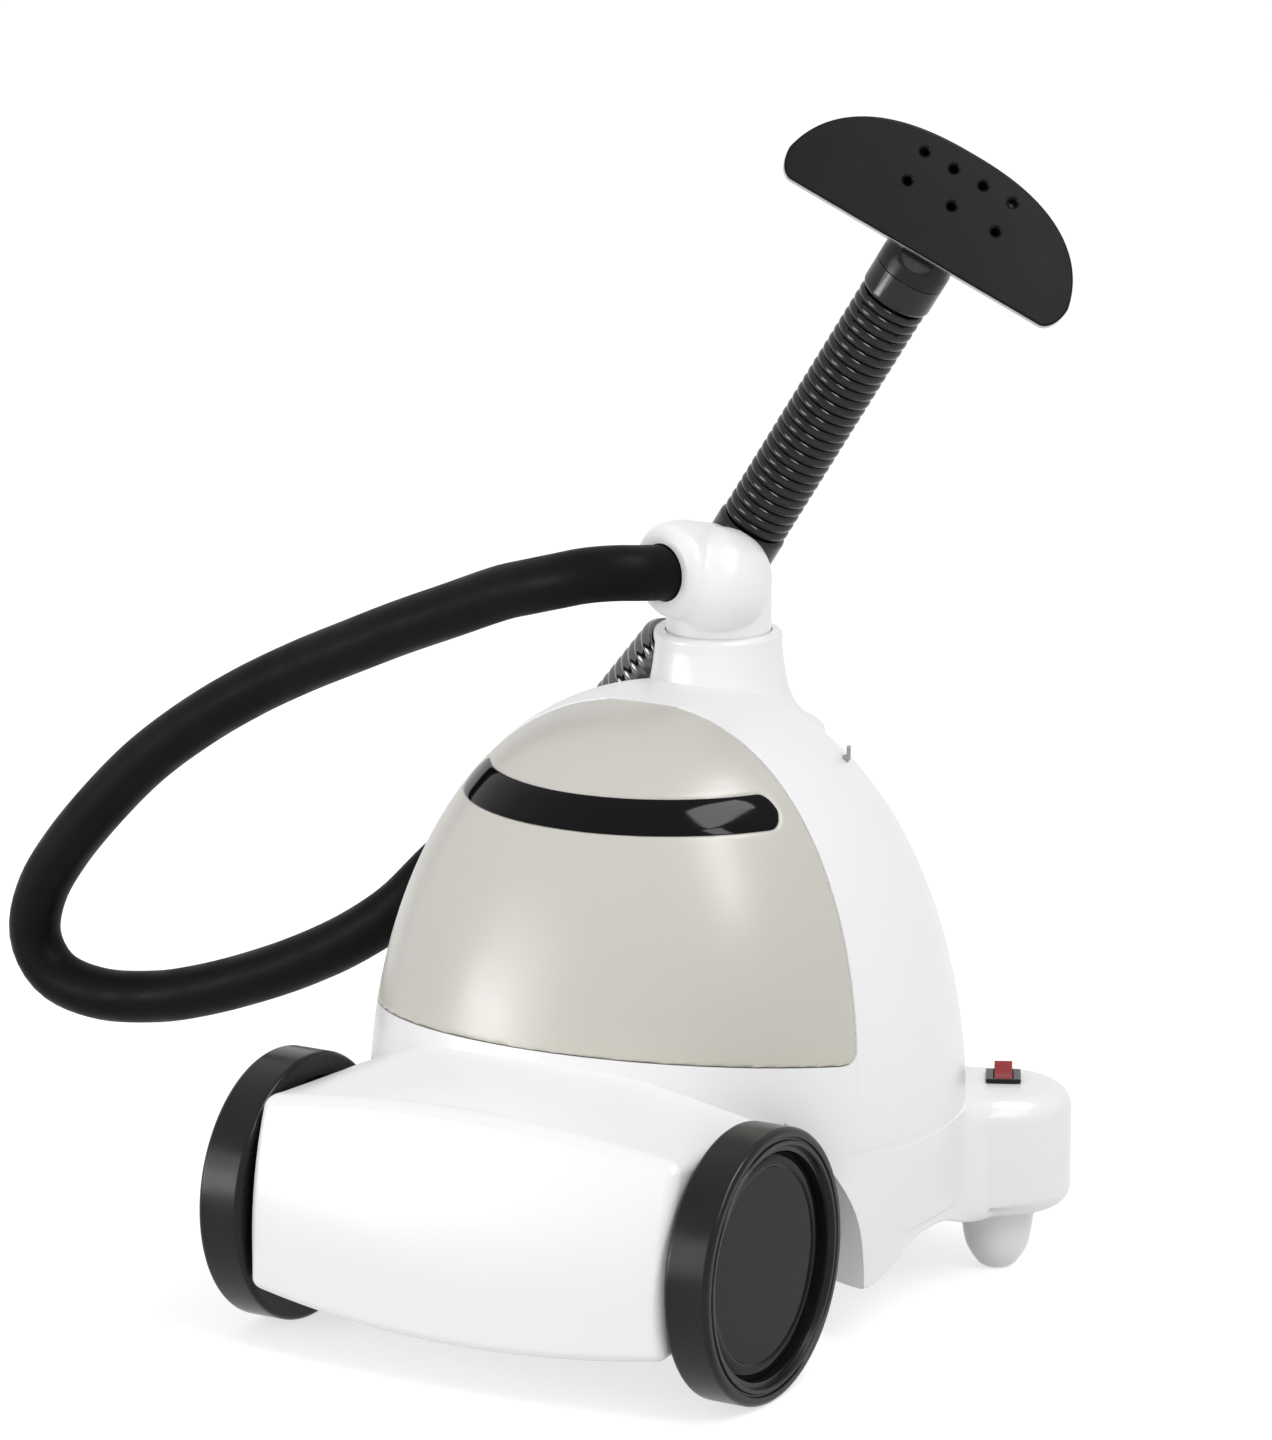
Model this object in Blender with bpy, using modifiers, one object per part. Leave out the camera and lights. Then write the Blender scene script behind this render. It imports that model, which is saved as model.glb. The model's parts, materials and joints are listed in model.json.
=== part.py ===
"""Compact wheeled steamer: a tank on a rolling base, a hose and a hand-held steam head.

Metres, +Z up. The model is laid out in a working frame whose zero is on the floor under the
middle of the axle: +X to the right of someone facing the front, +Y to the back. The parent
empty moves it so that the world origin is on the floor under the middle of the whole object.
"""
import math

import bmesh
import bpy
from mathutils import Matrix, Vector

# ---------------------------------------------------------------- driving dimensions
GAP = 0.0003                     # clearance between pieces that touch
FRAME_CENTRE = (0.00215, 0.1217)  # working-frame place of the world origin

# housings
WALL = 0.003                     # moulded wall
DOME_Y = 0.152                   # axis of the dome behind the axle
DOME_RADIUS = 0.156
DOME_BASE_Z = 0.100              # the dome draws in above this height
DOME_HEIGHT = 0.218
DOME_POWER = 1.9                 # how late the side leaves the vertical
DOME_SHOULDER = 2.3              # how square the shoulder is
DOME_TOP_Z = 0.315               # the flat crown
BASE_FOOT_HALF = 0.150           # half width of the base at its lower edge
BASE_SQUARENESS = 3.0            # superellipse exponent at the lower edge, 2 is round
BASE_BOTTOM_Z = 0.036
BASE_BLEND_Z = 0.040
EDGE_ROUND = 0.0016
SPLIT_Z = 0.104                  # parting line between lower housing and rear shell
SEAM_FRONT_Z = 0.161             # tank seam at y = 0
SEAM_SLOPE = 0.13                # fall of the tank seam per metre towards the back
PARTING_Y = 0.097                # tank's back face at the height PARTING_Z
PARTING_Z = 0.150
PARTING_RAKE = 0.17              # lean of the tank's back face
TANK_CORNER = 0.009              # rounding of the tank's lower rear corners
ARCH_RISE = 0.010                # hollow in the lower edge between wheel and foot
ARCH_TOP_Y = (0.155, 0.170)
ARCH_BACK_Y = 0.215
SKIRT_DROP = 0.005               # lower edge right behind the wheel
SKIRT_Y = (0.072, 0.098)

# rear lobes over the feet
LOBE_INSET = 0.013               # lobe's axis inside the dome's widest point
LOBE_FORWARD = 0.055             # lobe's axis in front of the dome's back
LOBE_X = DOME_RADIUS - LOBE_INSET
LOBE_Y = DOME_Y + DOME_RADIUS - LOBE_FORWARD
LOBE_RADIUS = 0.038
LOBE_TOP_Z = 0.100
LOBE_TOP_ROUND = 0.012
LOBE_BOTTOM_ROUND = 0.010
LOBE_BOSS = 0.0125               # post inside a lobe that carries the foot
LOBE_HOLLOW = 0.0295
LOBE_CEILING_Z = 0.0937
LOBE_BLEND = 0.008               # softening where a lobe meets the side
LOBE_FLARE = 0.18                # how fast the blend runs into the side, metres per radian

# front body between the wheels
WHEEL_WIDTH = 0.0249
WHEEL_TRACK = 0.2714
WHEEL_CLEARANCE = 0.00225        # running clearance of a wheel beside the front body
FRONT_HALF = WHEEL_TRACK / 2 - WHEEL_WIDTH / 2 - WHEEL_CLEARANCE
FRONT_Y = -0.073                 # foremost point of the bumper
FRONT_BULGE = 0.008              # sides behind the middle
FRONT_LEAN = 0.015               # top edge behind the belly
FRONT_BELLY_Z = 0.060
FRONT_TOP_Z = 0.142
FRONT_BOTTOM_Z = 0.025
FRONT_CROWN = 0.011
FRONT_CROWN_BACK = 0.033
FRONT_SMILE = 0.009
FRONT_ROUND = 0.006
FRONT_CORNER = 0.006
FRONT_BACK_Y = 0.070

# wheels
WHEEL_RADIUS = 0.070
TYRE_DEPTH = 0.012               # tread to the hub's rim
HUB_WEB = 0.004
HUB_BOSS_RADIUS = 0.010
CAP_RECESS = 0.006               # cover disc below the tyre's side
CAP_THICKNESS = 0.002
AXLE_RADIUS = 0.004
AXLE_NUT_RADIUS = 0.0075
AXLE_NUT_LENGTH = 0.0035
WELL_RADIUS = 0.136
WELL_CENTRE = (-0.041, 0.031)    # (y, z) of the arc behind the wheel
WELL_STEP = 0.0005               # the wells stop this far outside the front body's sides

# rear feet
FOOT_RADIUS = 0.020
FOOT_TIP_RADIUS = 0.005
FOOT_SPIGOT_RADIUS = 0.008
FOOT_SPIGOT_LENGTH = 0.014

# neck, cradle and wand
NECK_Y = 0.205
NECK_RADIUS = 0.0335
NECK_TOP_Z = 0.338
NECK_FLARE_Z = 0.285
NECK_FLARE_RADIUS = 0.056
NECK_ROOT_Z = 0.256              # the neck runs down inside the shell to here
CUP_FLOOR_Z = 0.320
ELBOW_RADIUS = 0.0276
ELBOW_Z = 0.364
HOOD_OFFSET = (0.0078, -0.0135, 0.0036)   # front ball of the elbow; the handle is as far behind
PORT_ANGLE = 72.0                # port of the elbow, degrees from -X towards -Y
PORT_RISE = 0.0095
PORT_RADIUS = 0.0256
PORT_ROOT_RADIUS = 0.0205
PORT_LENGTH = 0.040
PORT_LIP = 0.0085
PORT_BORE_DEPTH = 0.012
WAND_TILT = 32.9                 # degrees from vertical towards +X
COLLAR_RADIUS = 0.0189
LOWER_COLLAR_START = 0.0200
LOWER_COLLAR_END = 0.0400
GRIP_RADIUS = 0.0182
GRIP_VALLEY = 0.0166
GRIP_RIBS = 27
GRIP_LENGTH = 0.148
UPPER_COLLAR_LENGTH = 0.017
PIPE_RADIUS = 0.006              # steam pipe through the handle

# steam head
HEAD_LONG = (0.814, 0.314, -0.489)    # along the straight edge
HEAD_NORMAL = (0.531, -0.743, 0.406)  # out of the plate
HEAD_HALF_LENGTH = 0.083
HEAD_HEIGHT = 0.061
HEAD_OFFSET = (-0.003, -0.002)   # plate's middle from the handle's axis, along and across
HEAD_ROUNDNESS = 2.4
HEAD_CORNER = 0.010
PLATE_THICKNESS = 0.0055
HEAD_REACH = 0.022               # plate's face in front of the handle's end
HEAD_FROM_ELBOW = 0.211
HOLE_RADIUS = 0.0023
HOLE_SHIFT = 0.0043
HOLE_ROWS = ((4, 0.0172, 0.0487), (3, 0.0258, 0.0310))   # count, pitch, height on the plate
CHAMBER_DEPTH = 0.007
PAN_DEPTH = 0.015                # body behind the plate
THROAT_LENGTH = 0.024
THROAT_RADIUS = 0.0135

# tank
TANK_WALL = 0.003
BAND_Z = 0.2722
BAND_HALF = 0.0078
BAND_ANGLE = 63.0                # reach of the grip band each side of the front, degrees
BAND_DEPTH = 0.0014
BAND_PROUD = 0.0006
FILL_Y = 0.060                   # axis of the filler neck, cap and valve
NECK_BORE = 0.0125
FILLER_RADIUS = 0.0155
CAP_RADIUS = 0.0200
CAP_BOTTOM_Z = 0.1320
CAP_TOP_Z = 0.1500
CAP_FLOOR = 0.003
STEM_RADIUS = 0.0020
STEM_HEAD_RADIUS = 0.0065
SEAL_THICKNESS = 0.0025
CAGE_RADIUS = 0.0100
CAGE_HEIGHT = 0.017
SPRING_RADIUS = 0.0055
WELL_TUBE_RADIUS = 0.030
WELL_BORE = 0.0255
SEAT_Z = 0.1245
SEAT_THICKNESS = 0.0035

# inside the base
PLATE_Z = 0.047
FLOOR_PLATE = 0.0025
PLATE_CLEARANCE = 0.0008
BOILER_Y = 0.165
BOILER_RADIUS = 0.060
BOILER_HEIGHT = 0.034
ELEMENT_RADIUS = 0.0035
TUBE_RADIUS = 0.0050

# switch on the right rear lobe
SWITCH_OFFSET = (-0.001, 0.007)  # switch's middle from the lobe's axis
SWITCH_X = LOBE_X + SWITCH_OFFSET[0]
SWITCH_Y = LOBE_Y + SWITCH_OFFSET[1]
SWITCH_TURN = 27.0
BEZEL = (0.0185, 0.0210)
BEZEL_LIP = 0.0022
SWITCH_BODY = (0.0130, 0.0190)
SWITCH_DEPTH = 0.020
ROCKER = (0.0095, 0.0160)
ROCKER_TILT = 10.0

# cord gland in the back of the base
GLAND_Z = 0.066
GLAND_FACE_Z = 0.077             # height at which its flange meets the wall
GLAND_HOLE_RADIUS = 0.0063

# hose
HOSE_RADIUS = 0.0145
BOOT_START = (-0.0360, 0.2204, 0.3243)
BOOT_DIRECTION = (-0.691, 0.258, -0.676)
BOOT_LENGTH = 0.071
BOOT_RIBS = 7
BOOT_RADIUS = 0.0168
BOSS_REACH = 0.014               # nipple of the hose into the neck
BOSS_RADIUS = 0.0125
HOSE_ROUTE = (
    (-0.0181, 0.1530, 0.3752), (-0.0253, 0.1455, 0.3758), (-0.0344, 0.1405, 0.3752),
    (-0.0448, 0.1382, 0.3733), (-0.0562, 0.1380, 0.3701), (-0.0758, 0.1400, 0.3644),
    (-0.0960, 0.1435, 0.3581), (-0.1318, 0.1510, 0.3435), (-0.1662, 0.1570, 0.3295),
    (-0.2014, 0.1630, 0.3140), (-0.2374, 0.1685, 0.2977), (-0.274, 0.1735, 0.2790),
    (-0.309, 0.1775, 0.2580), (-0.344, 0.1810, 0.2330), (-0.374, 0.1840, 0.2060),
    (-0.404, 0.1870, 0.1740), (-0.424, 0.1890, 0.1450), (-0.430, 0.1900, 0.1180),
    (-0.417, 0.1910, 0.0970), (-0.388, 0.1920, 0.0895), (-0.352, 0.1930, 0.0925),
    (-0.322, 0.1930, 0.1000), (-0.288, 0.1920, 0.1120), (-0.253, 0.1900, 0.1270),
    (-0.220, 0.1890, 0.1445), (-0.191, 0.1910, 0.1650), (-0.170, 0.2020, 0.1890),
    (-0.153, 0.2180, 0.2080), (-0.136, 0.2330, 0.2250), (-0.119, 0.2430, 0.2420),
)
HOSE_STEP = 1.2                  # spacing of the tube's points in hose diameters

DOME_STEPS = 9                  # rings from the dome's base to its crown
DOME_SIDES = 36
INNER_STEPS = 5
INNER_SIDES = 28


# ---------------------------------------------------------------- scene and materials
def clear_scene():
    for old in list(bpy.data.objects):
        bpy.data.objects.remove(old, do_unlink=True)


clear_scene()
PARTS = bpy.data.collections.new("steamer")
CUTTERS = bpy.data.collections.new("cutters")
bpy.context.scene.collection.children.link(PARTS)
bpy.context.scene.collection.children.link(CUTTERS)
FRAME = bpy.data.objects.new("steamer_frame", None)
FRAME.location = (-FRAME_CENTRE[0], -FRAME_CENTRE[1], 0)
PARTS.objects.link(FRAME)


def material(name, color, roughness, metallic=0.0, alpha=1.0):
    mat = bpy.data.materials.new(name)
    mat.use_nodes = True
    shader = mat.node_tree.nodes["Principled BSDF"]
    shader.inputs["Base Color"].default_value = (*color, 1)
    shader.inputs["Roughness"].default_value = roughness
    shader.inputs["Metallic"].default_value = metallic
    shader.inputs["Alpha"].default_value = alpha
    mat.diffuse_color = (*color, alpha)
    return mat


WHITE = material("white_abs", (0.86, 0.86, 0.86), 0.28)
MILKY = material("milky_tank", (0.60, 0.58, 0.54), 0.32, alpha=0.9)
BLACK_GLOSS = material("black_gloss", (0.012, 0.012, 0.013), 0.10)
BLACK_SATIN = material("black_satin", (0.018, 0.018, 0.019), 0.38)
DISC_BLACK = material("wheel_disc_black", (0.016, 0.015, 0.016), 0.14)
GUNMETAL = material("gunmetal_gloss", (0.05, 0.048, 0.045), 0.12, 0.75)
HOSE_BLACK = material("hose_black", (0.015, 0.015, 0.015), 0.65)
ROCKER_RED = material("rocker_red", (0.35, 0.015, 0.02), 0.30)
STEEL = material("steel", (0.60, 0.60, 0.60), 0.32, 1.0)
ALUMINIUM = material("cast_aluminium", (0.62, 0.62, 0.64), 0.45, 1.0)
SILICONE = material("silicone", (0.55, 0.20, 0.12), 0.55)
GREY_PLASTIC = material("grey_plastic", (0.33, 0.33, 0.33), 0.45)


# ---------------------------------------------------------------- modelling helpers
def link(name, mesh, mat, cutter=False):
    obj = bpy.data.objects.new(name, mesh)
    (CUTTERS if cutter else PARTS).objects.link(obj)
    if cutter:
        obj.hide_render = True
        obj.display_type = 'WIRE'
    else:
        mesh.materials.append(mat)
    obj.parent = FRAME
    return obj


def finish_mesh(name, bm, smooth=35.0):
    bmesh.ops.recalc_face_normals(bm, faces=bm.faces)
    mesh = bpy.data.meshes.new(name)
    bm.to_mesh(mesh)
    bm.free()
    mesh.shade_smooth()
    mesh.set_sharp_from_angle(angle=math.radians(smooth))
    return mesh


def loft(name, rings, mat=None, cutter=False):
    """Closed skin over rings of equal point counts, each end closed by a fan."""
    bm = bmesh.new()
    rows = [[bm.verts.new(p) for p in ring] for ring in rings]
    count = len(rows[0])
    for low, high in zip(rows, rows[1:]):
        for i in range(count):
            j = (i + 1) % count
            bm.faces.new((low[i], low[j], high[j], high[i]))
    for row in (rows[0], rows[-1]):
        centre = sum((v.co for v in row), Vector()) / count
        hub = bm.verts.new(centre)
        for i in range(count):
            bm.faces.new((hub, row[i], row[(i + 1) % count]))
    return link(name, finish_mesh(name, bm), mat, cutter)


def prism(name, outline, depth, mat=None, cutter=False, matrix=None):
    """Flat outline in local XY, extruded from z = 0 to depth."""
    bm = bmesh.new()
    face = bm.faces.new([bm.verts.new((x, y, 0)) for x, y in outline])
    grown = bmesh.ops.extrude_face_region(bm, geom=[face])["geom"]
    bmesh.ops.translate(bm, vec=(0, 0, depth), verts=[v for v in grown if isinstance(v, bmesh.types.BMVert)])
    if matrix:
        bmesh.ops.transform(bm, matrix=matrix, verts=bm.verts)
    return link(name, finish_mesh(name, bm, 30.0), mat, cutter)


def turned(name, profile, steps, mat=None, cutter=False, matrix=None, loop=False):
    """Profile of (radius, height), outer side running down, turned about local Z."""
    bm = bmesh.new()
    verts = [bm.verts.new((r, 0, z)) for r, z in profile]
    for a, b in zip(verts, verts[1:]):
        bm.edges.new((a, b))
    if loop:
        bm.edges.new((verts[-1], verts[0]))
    mesh = bpy.data.meshes.new(name)
    bm.to_mesh(mesh)
    bm.free()
    obj = link(name, mesh, mat, cutter)
    if matrix:
        obj.matrix_local = matrix
    screw = obj.modifiers.new("Turn", 'SCREW')
    screw.axis = 'Z'
    screw.steps = steps
    screw.render_steps = steps
    screw.use_merge_vertices = True
    screw.merge_threshold = 0.00001
    screw.use_smooth_shade = True
    return obj


def cylinder(name, radius, low, high, steps=32, matrix=None):
    """Cylinder used as a cutter or as a boss."""
    profile = ((0, high), (radius, high), (radius, low), (0, low))
    return turned(name, profile, steps, cutter=True, matrix=matrix)


def box(name, size, centre, mat=None, cutter=False, turn=0.0):
    bm = bmesh.new()
    bmesh.ops.create_cube(bm, size=1.0)
    bmesh.ops.scale(bm, vec=size, verts=bm.verts)
    obj = link(name, finish_mesh(name, bm, 30.0), mat, cutter)
    obj.location = centre
    obj.rotation_euler = (0, 0, math.radians(turn))
    return obj


def combine(obj, other, how):
    step = obj.modifiers.new(other.name, 'BOOLEAN')
    step.operation = how
    step.solver = 'EXACT'
    step.object = other
    return obj


def cut(obj, *cutters):
    for cutter in cutters:
        combine(obj, cutter, 'DIFFERENCE')
    return obj


def join(obj, *others):
    for other in others:
        combine(obj, other, 'UNION')
    return obj


def keep(obj, *others):
    for other in others:
        combine(obj, other, 'INTERSECT')
    return obj


def bevel(obj, width, segments=2, angle=40.0):
    step = obj.modifiers.new("Rounded edges", 'BEVEL')
    step.width = width
    step.segments = segments
    step.limit_method = 'ANGLE'
    step.angle_limit = math.radians(angle)
    step.harden_normals = False
    return obj


def tube(name, points, radius, mat, resolution=2):
    """Round tube on a poly line, with filled caps."""
    curve = bpy.data.curves.new(name, 'CURVE')
    curve.dimensions = '3D'
    curve.bevel_depth = radius
    curve.bevel_resolution = resolution
    curve.use_fill_caps = True
    spline = curve.splines.new('POLY')
    spline.points.add(len(points) - 1)
    for slot, point in zip(spline.points, points):
        slot.co = (*point, 1)
    curve.materials.append(mat)
    obj = bpy.data.objects.new(name, curve)
    PARTS.objects.link(obj)
    obj.parent = FRAME
    return obj


def smooth_path(route, step):
    """Points a step apart along a Catmull-Rom curve through the route."""
    guide = [Vector(p) for p in route]
    guide = [guide[0] * 2 - guide[1]] + guide + [guide[-1] * 2 - guide[-2]]
    dense = []
    for a, b, c, d in zip(guide, guide[1:], guide[2:], guide[3:]):
        for k in range(12):
            t = k / 12
            dense.append(0.5 * (2 * b + (c - a) * t + (2 * a - 5 * b + 4 * c - d) * t ** 2
                                + (3 * b - a - 3 * c + d) * t ** 3))
    dense.append(guide[-2])
    total = sum((q - p).length for p, q in zip(dense, dense[1:]))
    count = max(2, round(total / step))
    spaced, walked, wanted = [dense[0]], 0.0, total / count
    for p, q in zip(dense, dense[1:]):
        span = (q - p).length
        while walked + span >= wanted * len(spaced) and len(spaced) < count:
            spaced.append(p.lerp(q, (wanted * len(spaced) - walked) / span))
        walked += span
    return spaced + [dense[-1]]


def axes(origin, z_axis, x_hint=(1, 0, 0)):
    """Matrix whose local Z is z_axis and whose local X is near x_hint."""
    z = Vector(z_axis).normalized()
    x = (Vector(x_hint) - z * Vector(x_hint).dot(z)).normalized()
    y = z.cross(x)
    turn = Matrix((x, y, z)).transposed().to_4x4()
    return Matrix.Translation(origin) @ turn


# ---------------------------------------------------------------- shared forms
def soft_max(a, b, width):
    return 0.5 * (a + b + math.sqrt((a - b) ** 2 + width ** 2))


def outline_angles():
    """Directions round the dome's axis, closer together at the rear lobes."""
    lobe = math.degrees(math.atan2(LOBE_Y - DOME_Y, LOBE_X))
    centres = (lobe, 180 - lobe)
    coarse = [a * 10.0 for a in range(36)]
    coarse = [a for a in coarse if all(abs(a - c) > 23 for c in centres)]
    fine = [c + k * 5.0 for c in centres for k in range(-4, 5)]
    return [math.radians(a) for a in sorted(coarse + fine)]


LOBED_ANGLES = outline_angles()
ROUND_ANGLES = [math.radians(360 * k / DOME_SIDES) for k in range(DOME_SIDES)]
INNER_ANGLES = [math.radians(360 * k / INNER_SIDES) for k in range(INNER_SIDES)]


def superellipse_radius(angle, half, power):
    return half * (abs(math.cos(angle)) ** power + abs(math.sin(angle)) ** power) ** (-1 / power)


def lobe_radius(angle, radius):
    """Distance from the dome's axis to a lobe's outside, running off steeply beside it."""
    reach = Vector((LOBE_X, LOBE_Y - DOME_Y))
    ray = Vector((abs(math.cos(angle)), math.sin(angle)))
    along = reach.dot(ray)
    across = abs(reach.cross(ray))
    edge = radius * 0.985
    if across < edge:
        return along + math.sqrt(radius ** 2 - across ** 2)
    start = math.asin(edge / reach.length)
    return reach.length * math.cos(start) - LOBE_FLARE * (abs(reach.angle(ray)) - start)


def dome_radius(z, inset=0.0):
    height = DOME_HEIGHT - inset
    share = min(1.0, max(0.0, (z - DOME_BASE_Z) / height))
    return (DOME_RADIUS - inset) * (1 - share ** DOME_POWER) ** (1 / DOME_SHOULDER)


def ease(value, start, end):
    """Smooth step from 0 at start to 1 at end."""
    share = min(1.0, max(0.0, (value - start) / (end - start)))
    return share * share * (3 - 2 * share)


def edge_arch(y):
    """Lift of the lower edge: down behind the wheel, up between wheel and rear foot."""
    rise = (ARCH_RISE + SKIRT_DROP) * ease(y, SKIRT_Y[1], ARCH_TOP_Y[0]) - SKIRT_DROP * ease(y, *SKIRT_Y)
    return rise - ARCH_RISE * ease(y, ARCH_TOP_Y[1], ARCH_BACK_Y)


def base_ring(z, inset=0.0, lobe=0.0, angles=LOBED_ANGLES, arched=0.0):
    """Outline at a height: squarer low down, round where the dome begins."""
    share = min(1.0, max(0.0, (z - BASE_BLEND_Z) / (DOME_BASE_Z - BASE_BLEND_Z)))
    share = share * share * (3 - 2 * share)
    power = BASE_SQUARENESS + (2 - BASE_SQUARENESS) * share
    half = BASE_FOOT_HALF + (DOME_RADIUS - BASE_FOOT_HALF) * share - inset
    if z > DOME_BASE_Z:
        half = dome_radius(z, inset)
    ring = []
    for angle in angles:
        radius = superellipse_radius(angle, half, power)
        if lobe:
            radius = soft_max(radius, lobe_radius(angle, lobe), LOBE_BLEND)
        y = DOME_Y + radius * math.sin(angle)
        ring.append(Vector((radius * math.cos(angle), y, z + arched * edge_arch(y))))
    return ring


def lobe_edge(depth, fillet):
    """How far a rounded edge is set in at a depth below or above its flat."""
    rest = max(0.0, 1 - depth / fillet)
    return fillet * (1 - math.sqrt(max(0.0, 1 - rest * rest)))


def base_form(name):
    """Outside of the lower housing behind the front body, lobes included."""
    rings = []
    for rise in (0.0, 1.0, 5.0):
        depth = rise * EDGE_ROUND
        z = BASE_BOTTOM_Z + depth
        rings.append(base_ring(z, lobe_edge(depth, EDGE_ROUND),
                               LOBE_RADIUS - lobe_edge(depth, LOBE_BOTTOM_ROUND), arched=1.0))
    rings.append(base_ring(0.068, 0, LOBE_RADIUS))
    for drop in (1.0, 0.35, 0.0):
        depth = drop * LOBE_TOP_ROUND
        rings.append(base_ring(LOBE_TOP_Z - depth, 0, LOBE_RADIUS - lobe_edge(depth, LOBE_TOP_ROUND)))
    rings.append(base_ring(LOBE_TOP_Z + 0.0002, 0, LOBE_RADIUS * 0.35))
    rings.append(base_ring(LOBE_TOP_Z + 0.0004))
    for z in (0.132, 0.166):
        rings.append(base_ring(z))
    return loft(name, rings, WHITE)


def inner_base_form(name, inset, low, high, mat=None):
    levels = (low, BASE_BLEND_Z, 0.070, DOME_BASE_Z, high)
    rings = [base_ring(z, inset, angles=INNER_ANGLES) for z in levels]
    return loft(name, rings, mat, cutter=mat is None)


def dome_form(name, inset, low, mat=None, cutter=False, top=None):
    top = DOME_TOP_Z - inset if top is None else top
    count, angles = (INNER_STEPS, INNER_ANGLES) if inset > 0 else (DOME_STEPS, ROUND_ANGLES)
    levels = [low + (top - low) * math.sin(0.5 * math.pi * k / count) for k in range(count + 1)]
    return loft(name, [base_ring(z, inset, angles=angles) for z in levels], mat, cutter)


def rounded_oblong(half, height, radius, across, up):
    """Outline of an oblong from (-half, 0) to (half, height) with round corners."""
    points = []
    corners = ((half, 0, -90), (half, height, 0), (-half, height, 90), (-half, 0, 180))
    for k, (x, z, start) in enumerate(corners):
        cx, cz = math.copysign(half - radius, x), radius if z == 0 else height - radius
        for step in range(4):
            angle = math.radians(start + 30 * step)
            points.append((cx + radius * math.cos(angle), cz + radius * math.sin(angle)))
        after = corners[(k + 1) % 4]
        count = up if k % 2 == 0 else across
        end = math.radians(after[2])
        nx = math.copysign(half - radius, after[0]) + radius * math.cos(end)
        nz = (radius if after[1] == 0 else height - radius) + radius * math.sin(end)
        last = points[-1]
        for step in range(1, count + 1):
            share = step / (count + 1)
            points.append((last[0] + (nx - last[0]) * share, last[1] + (nz - last[1]) * share))
    return points


def front_section(y, edge, inset, top, crown, bottom, lean=1.0, spread=1.0):
    """Ring of the front body: a crowned, rounded oblong, bulged and leaning back."""
    trim = inset + edge
    height = FRONT_TOP_Z - FRONT_BOTTOM_Z
    ring = []
    across, up = (3, 1) if inset > 0 else (5, 2)
    for x, level in rounded_oblong(FRONT_HALF - trim, height, max(0.002, FRONT_CORNER - trim), across, up):
        share = (x / FRONT_HALF) ** 2
        high = top - crown * share - trim
        low = bottom + FRONT_SMILE * share + trim
        z = low + (high - low) * level / height
        x = x * spread
        z = FRONT_BELLY_Z + (z - FRONT_BELLY_Z) * spread
        back = max(0.0, (z - FRONT_BELLY_Z) / (FRONT_TOP_Z - FRONT_CROWN - FRONT_BELLY_Z))
        ring.append(Vector((x, y + FRONT_BULGE * (x / FRONT_HALF) ** 2 + lean * FRONT_LEAN * back ** 2, z)))
    return ring


def front_form(name, inset=0.0, mat=None, cutter=False, open_below=0.0):
    """Front body from the bumper's face back into the base."""
    face = FRONT_Y + inset
    low = FRONT_BOTTOM_Z - open_below
    rings = [front_section(face, FRONT_ROUND, inset, FRONT_TOP_Z, FRONT_CROWN, low, spread=spread)
             for spread in (0.35, 0.75)]
    for turn in (0, 45, 90):
        back = FRONT_ROUND * (1 - math.cos(math.radians(turn)))
        edge = FRONT_ROUND * (1 - math.sin(math.radians(turn)))
        rings.append(front_section(face + back, edge, inset, FRONT_TOP_Z, FRONT_CROWN, low))
    for share in (0.22, 0.49, 1.0):
        y = face + FRONT_ROUND + (FRONT_BACK_Y - face - FRONT_ROUND) * share
        rise = min(1.0, (y - FRONT_Y) / -FRONT_Y)
        top = FRONT_TOP_Z + (SEAM_FRONT_Z - 0.002 - FRONT_TOP_Z) * rise - 0.08 * max(0.0, y)
        crown = FRONT_CROWN + (FRONT_CROWN_BACK - FRONT_CROWN) * rise
        bottom = low + (BASE_BOTTOM_Z + 0.002 - FRONT_BOTTOM_Z) * share
        rings.append(front_section(y, 0, inset, top, crown, bottom, lean=1 - share))
    return loft(name, rings, mat, cutter)


def side_prism(name, points, half_width=0.25):
    """Outline of (y, z) points run right across the object, as a cutter."""
    matrix = Matrix(((0, 0, 1, -half_width), (1, 0, 0, 0), (0, 1, 0, 0), (0, 0, 0, 1)))
    return prism(name, points, 2 * half_width, cutter=True, matrix=matrix)


def parting_y(z, back=0.0):
    return PARTING_Y + PARTING_RAKE * (z - PARTING_Z) + back


def seam_z(y, drop=0.0):
    return SEAM_FRONT_Z - SEAM_SLOPE * y - drop


def tank_zone(name, back=0.0, drop=0.0):
    """Everything above the tank seam and in front of the tank's back face, with a rounded corner."""
    corner_y = parting_y(seam_z(PARTING_Y), back)
    corner = Vector((corner_y, seam_z(corner_y, drop)))
    start, end = Vector((-0.20, seam_z(-0.20, drop))), Vector((parting_y(0.42, back), 0.42))
    reach = TANK_CORNER + back
    low = corner + (start - corner).normalized() * reach
    high = corner + (end - corner).normalized() * reach
    turn = [low.lerp(corner, k / 4).lerp(corner.lerp(high, k / 4), k / 4) for k in range(5)]
    points = [start, *turn, end, Vector((-0.20, 0.42))]
    return side_prism(name, [(p.x, p.y) for p in points])


def rear_zone(name, forward=0.0, low=SPLIT_Z):
    """Everything above the parting line and behind the tank's back face."""
    points = ((parting_y(low, -forward), low), (0.40, low), (0.40, 0.42), (parting_y(0.42, -forward), 0.42))
    return side_prism(name, points)


def wheel_wells(name, grow=0.0):
    """Pair of drums round the wheels, as one cutter each side."""
    drums = []
    for side in (-1, 1):
        inner = FRONT_HALF + WELL_STEP - grow
        matrix = axes((side * inner, *WELL_CENTRE), (side, 0, 0), (0, 0, 1))
        drums.append(cylinder(f"{name}_{'right' if side > 0 else 'left'}", WELL_RADIUS + grow, 0, 0.09,
                              steps=44, matrix=matrix))
    return drums


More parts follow.
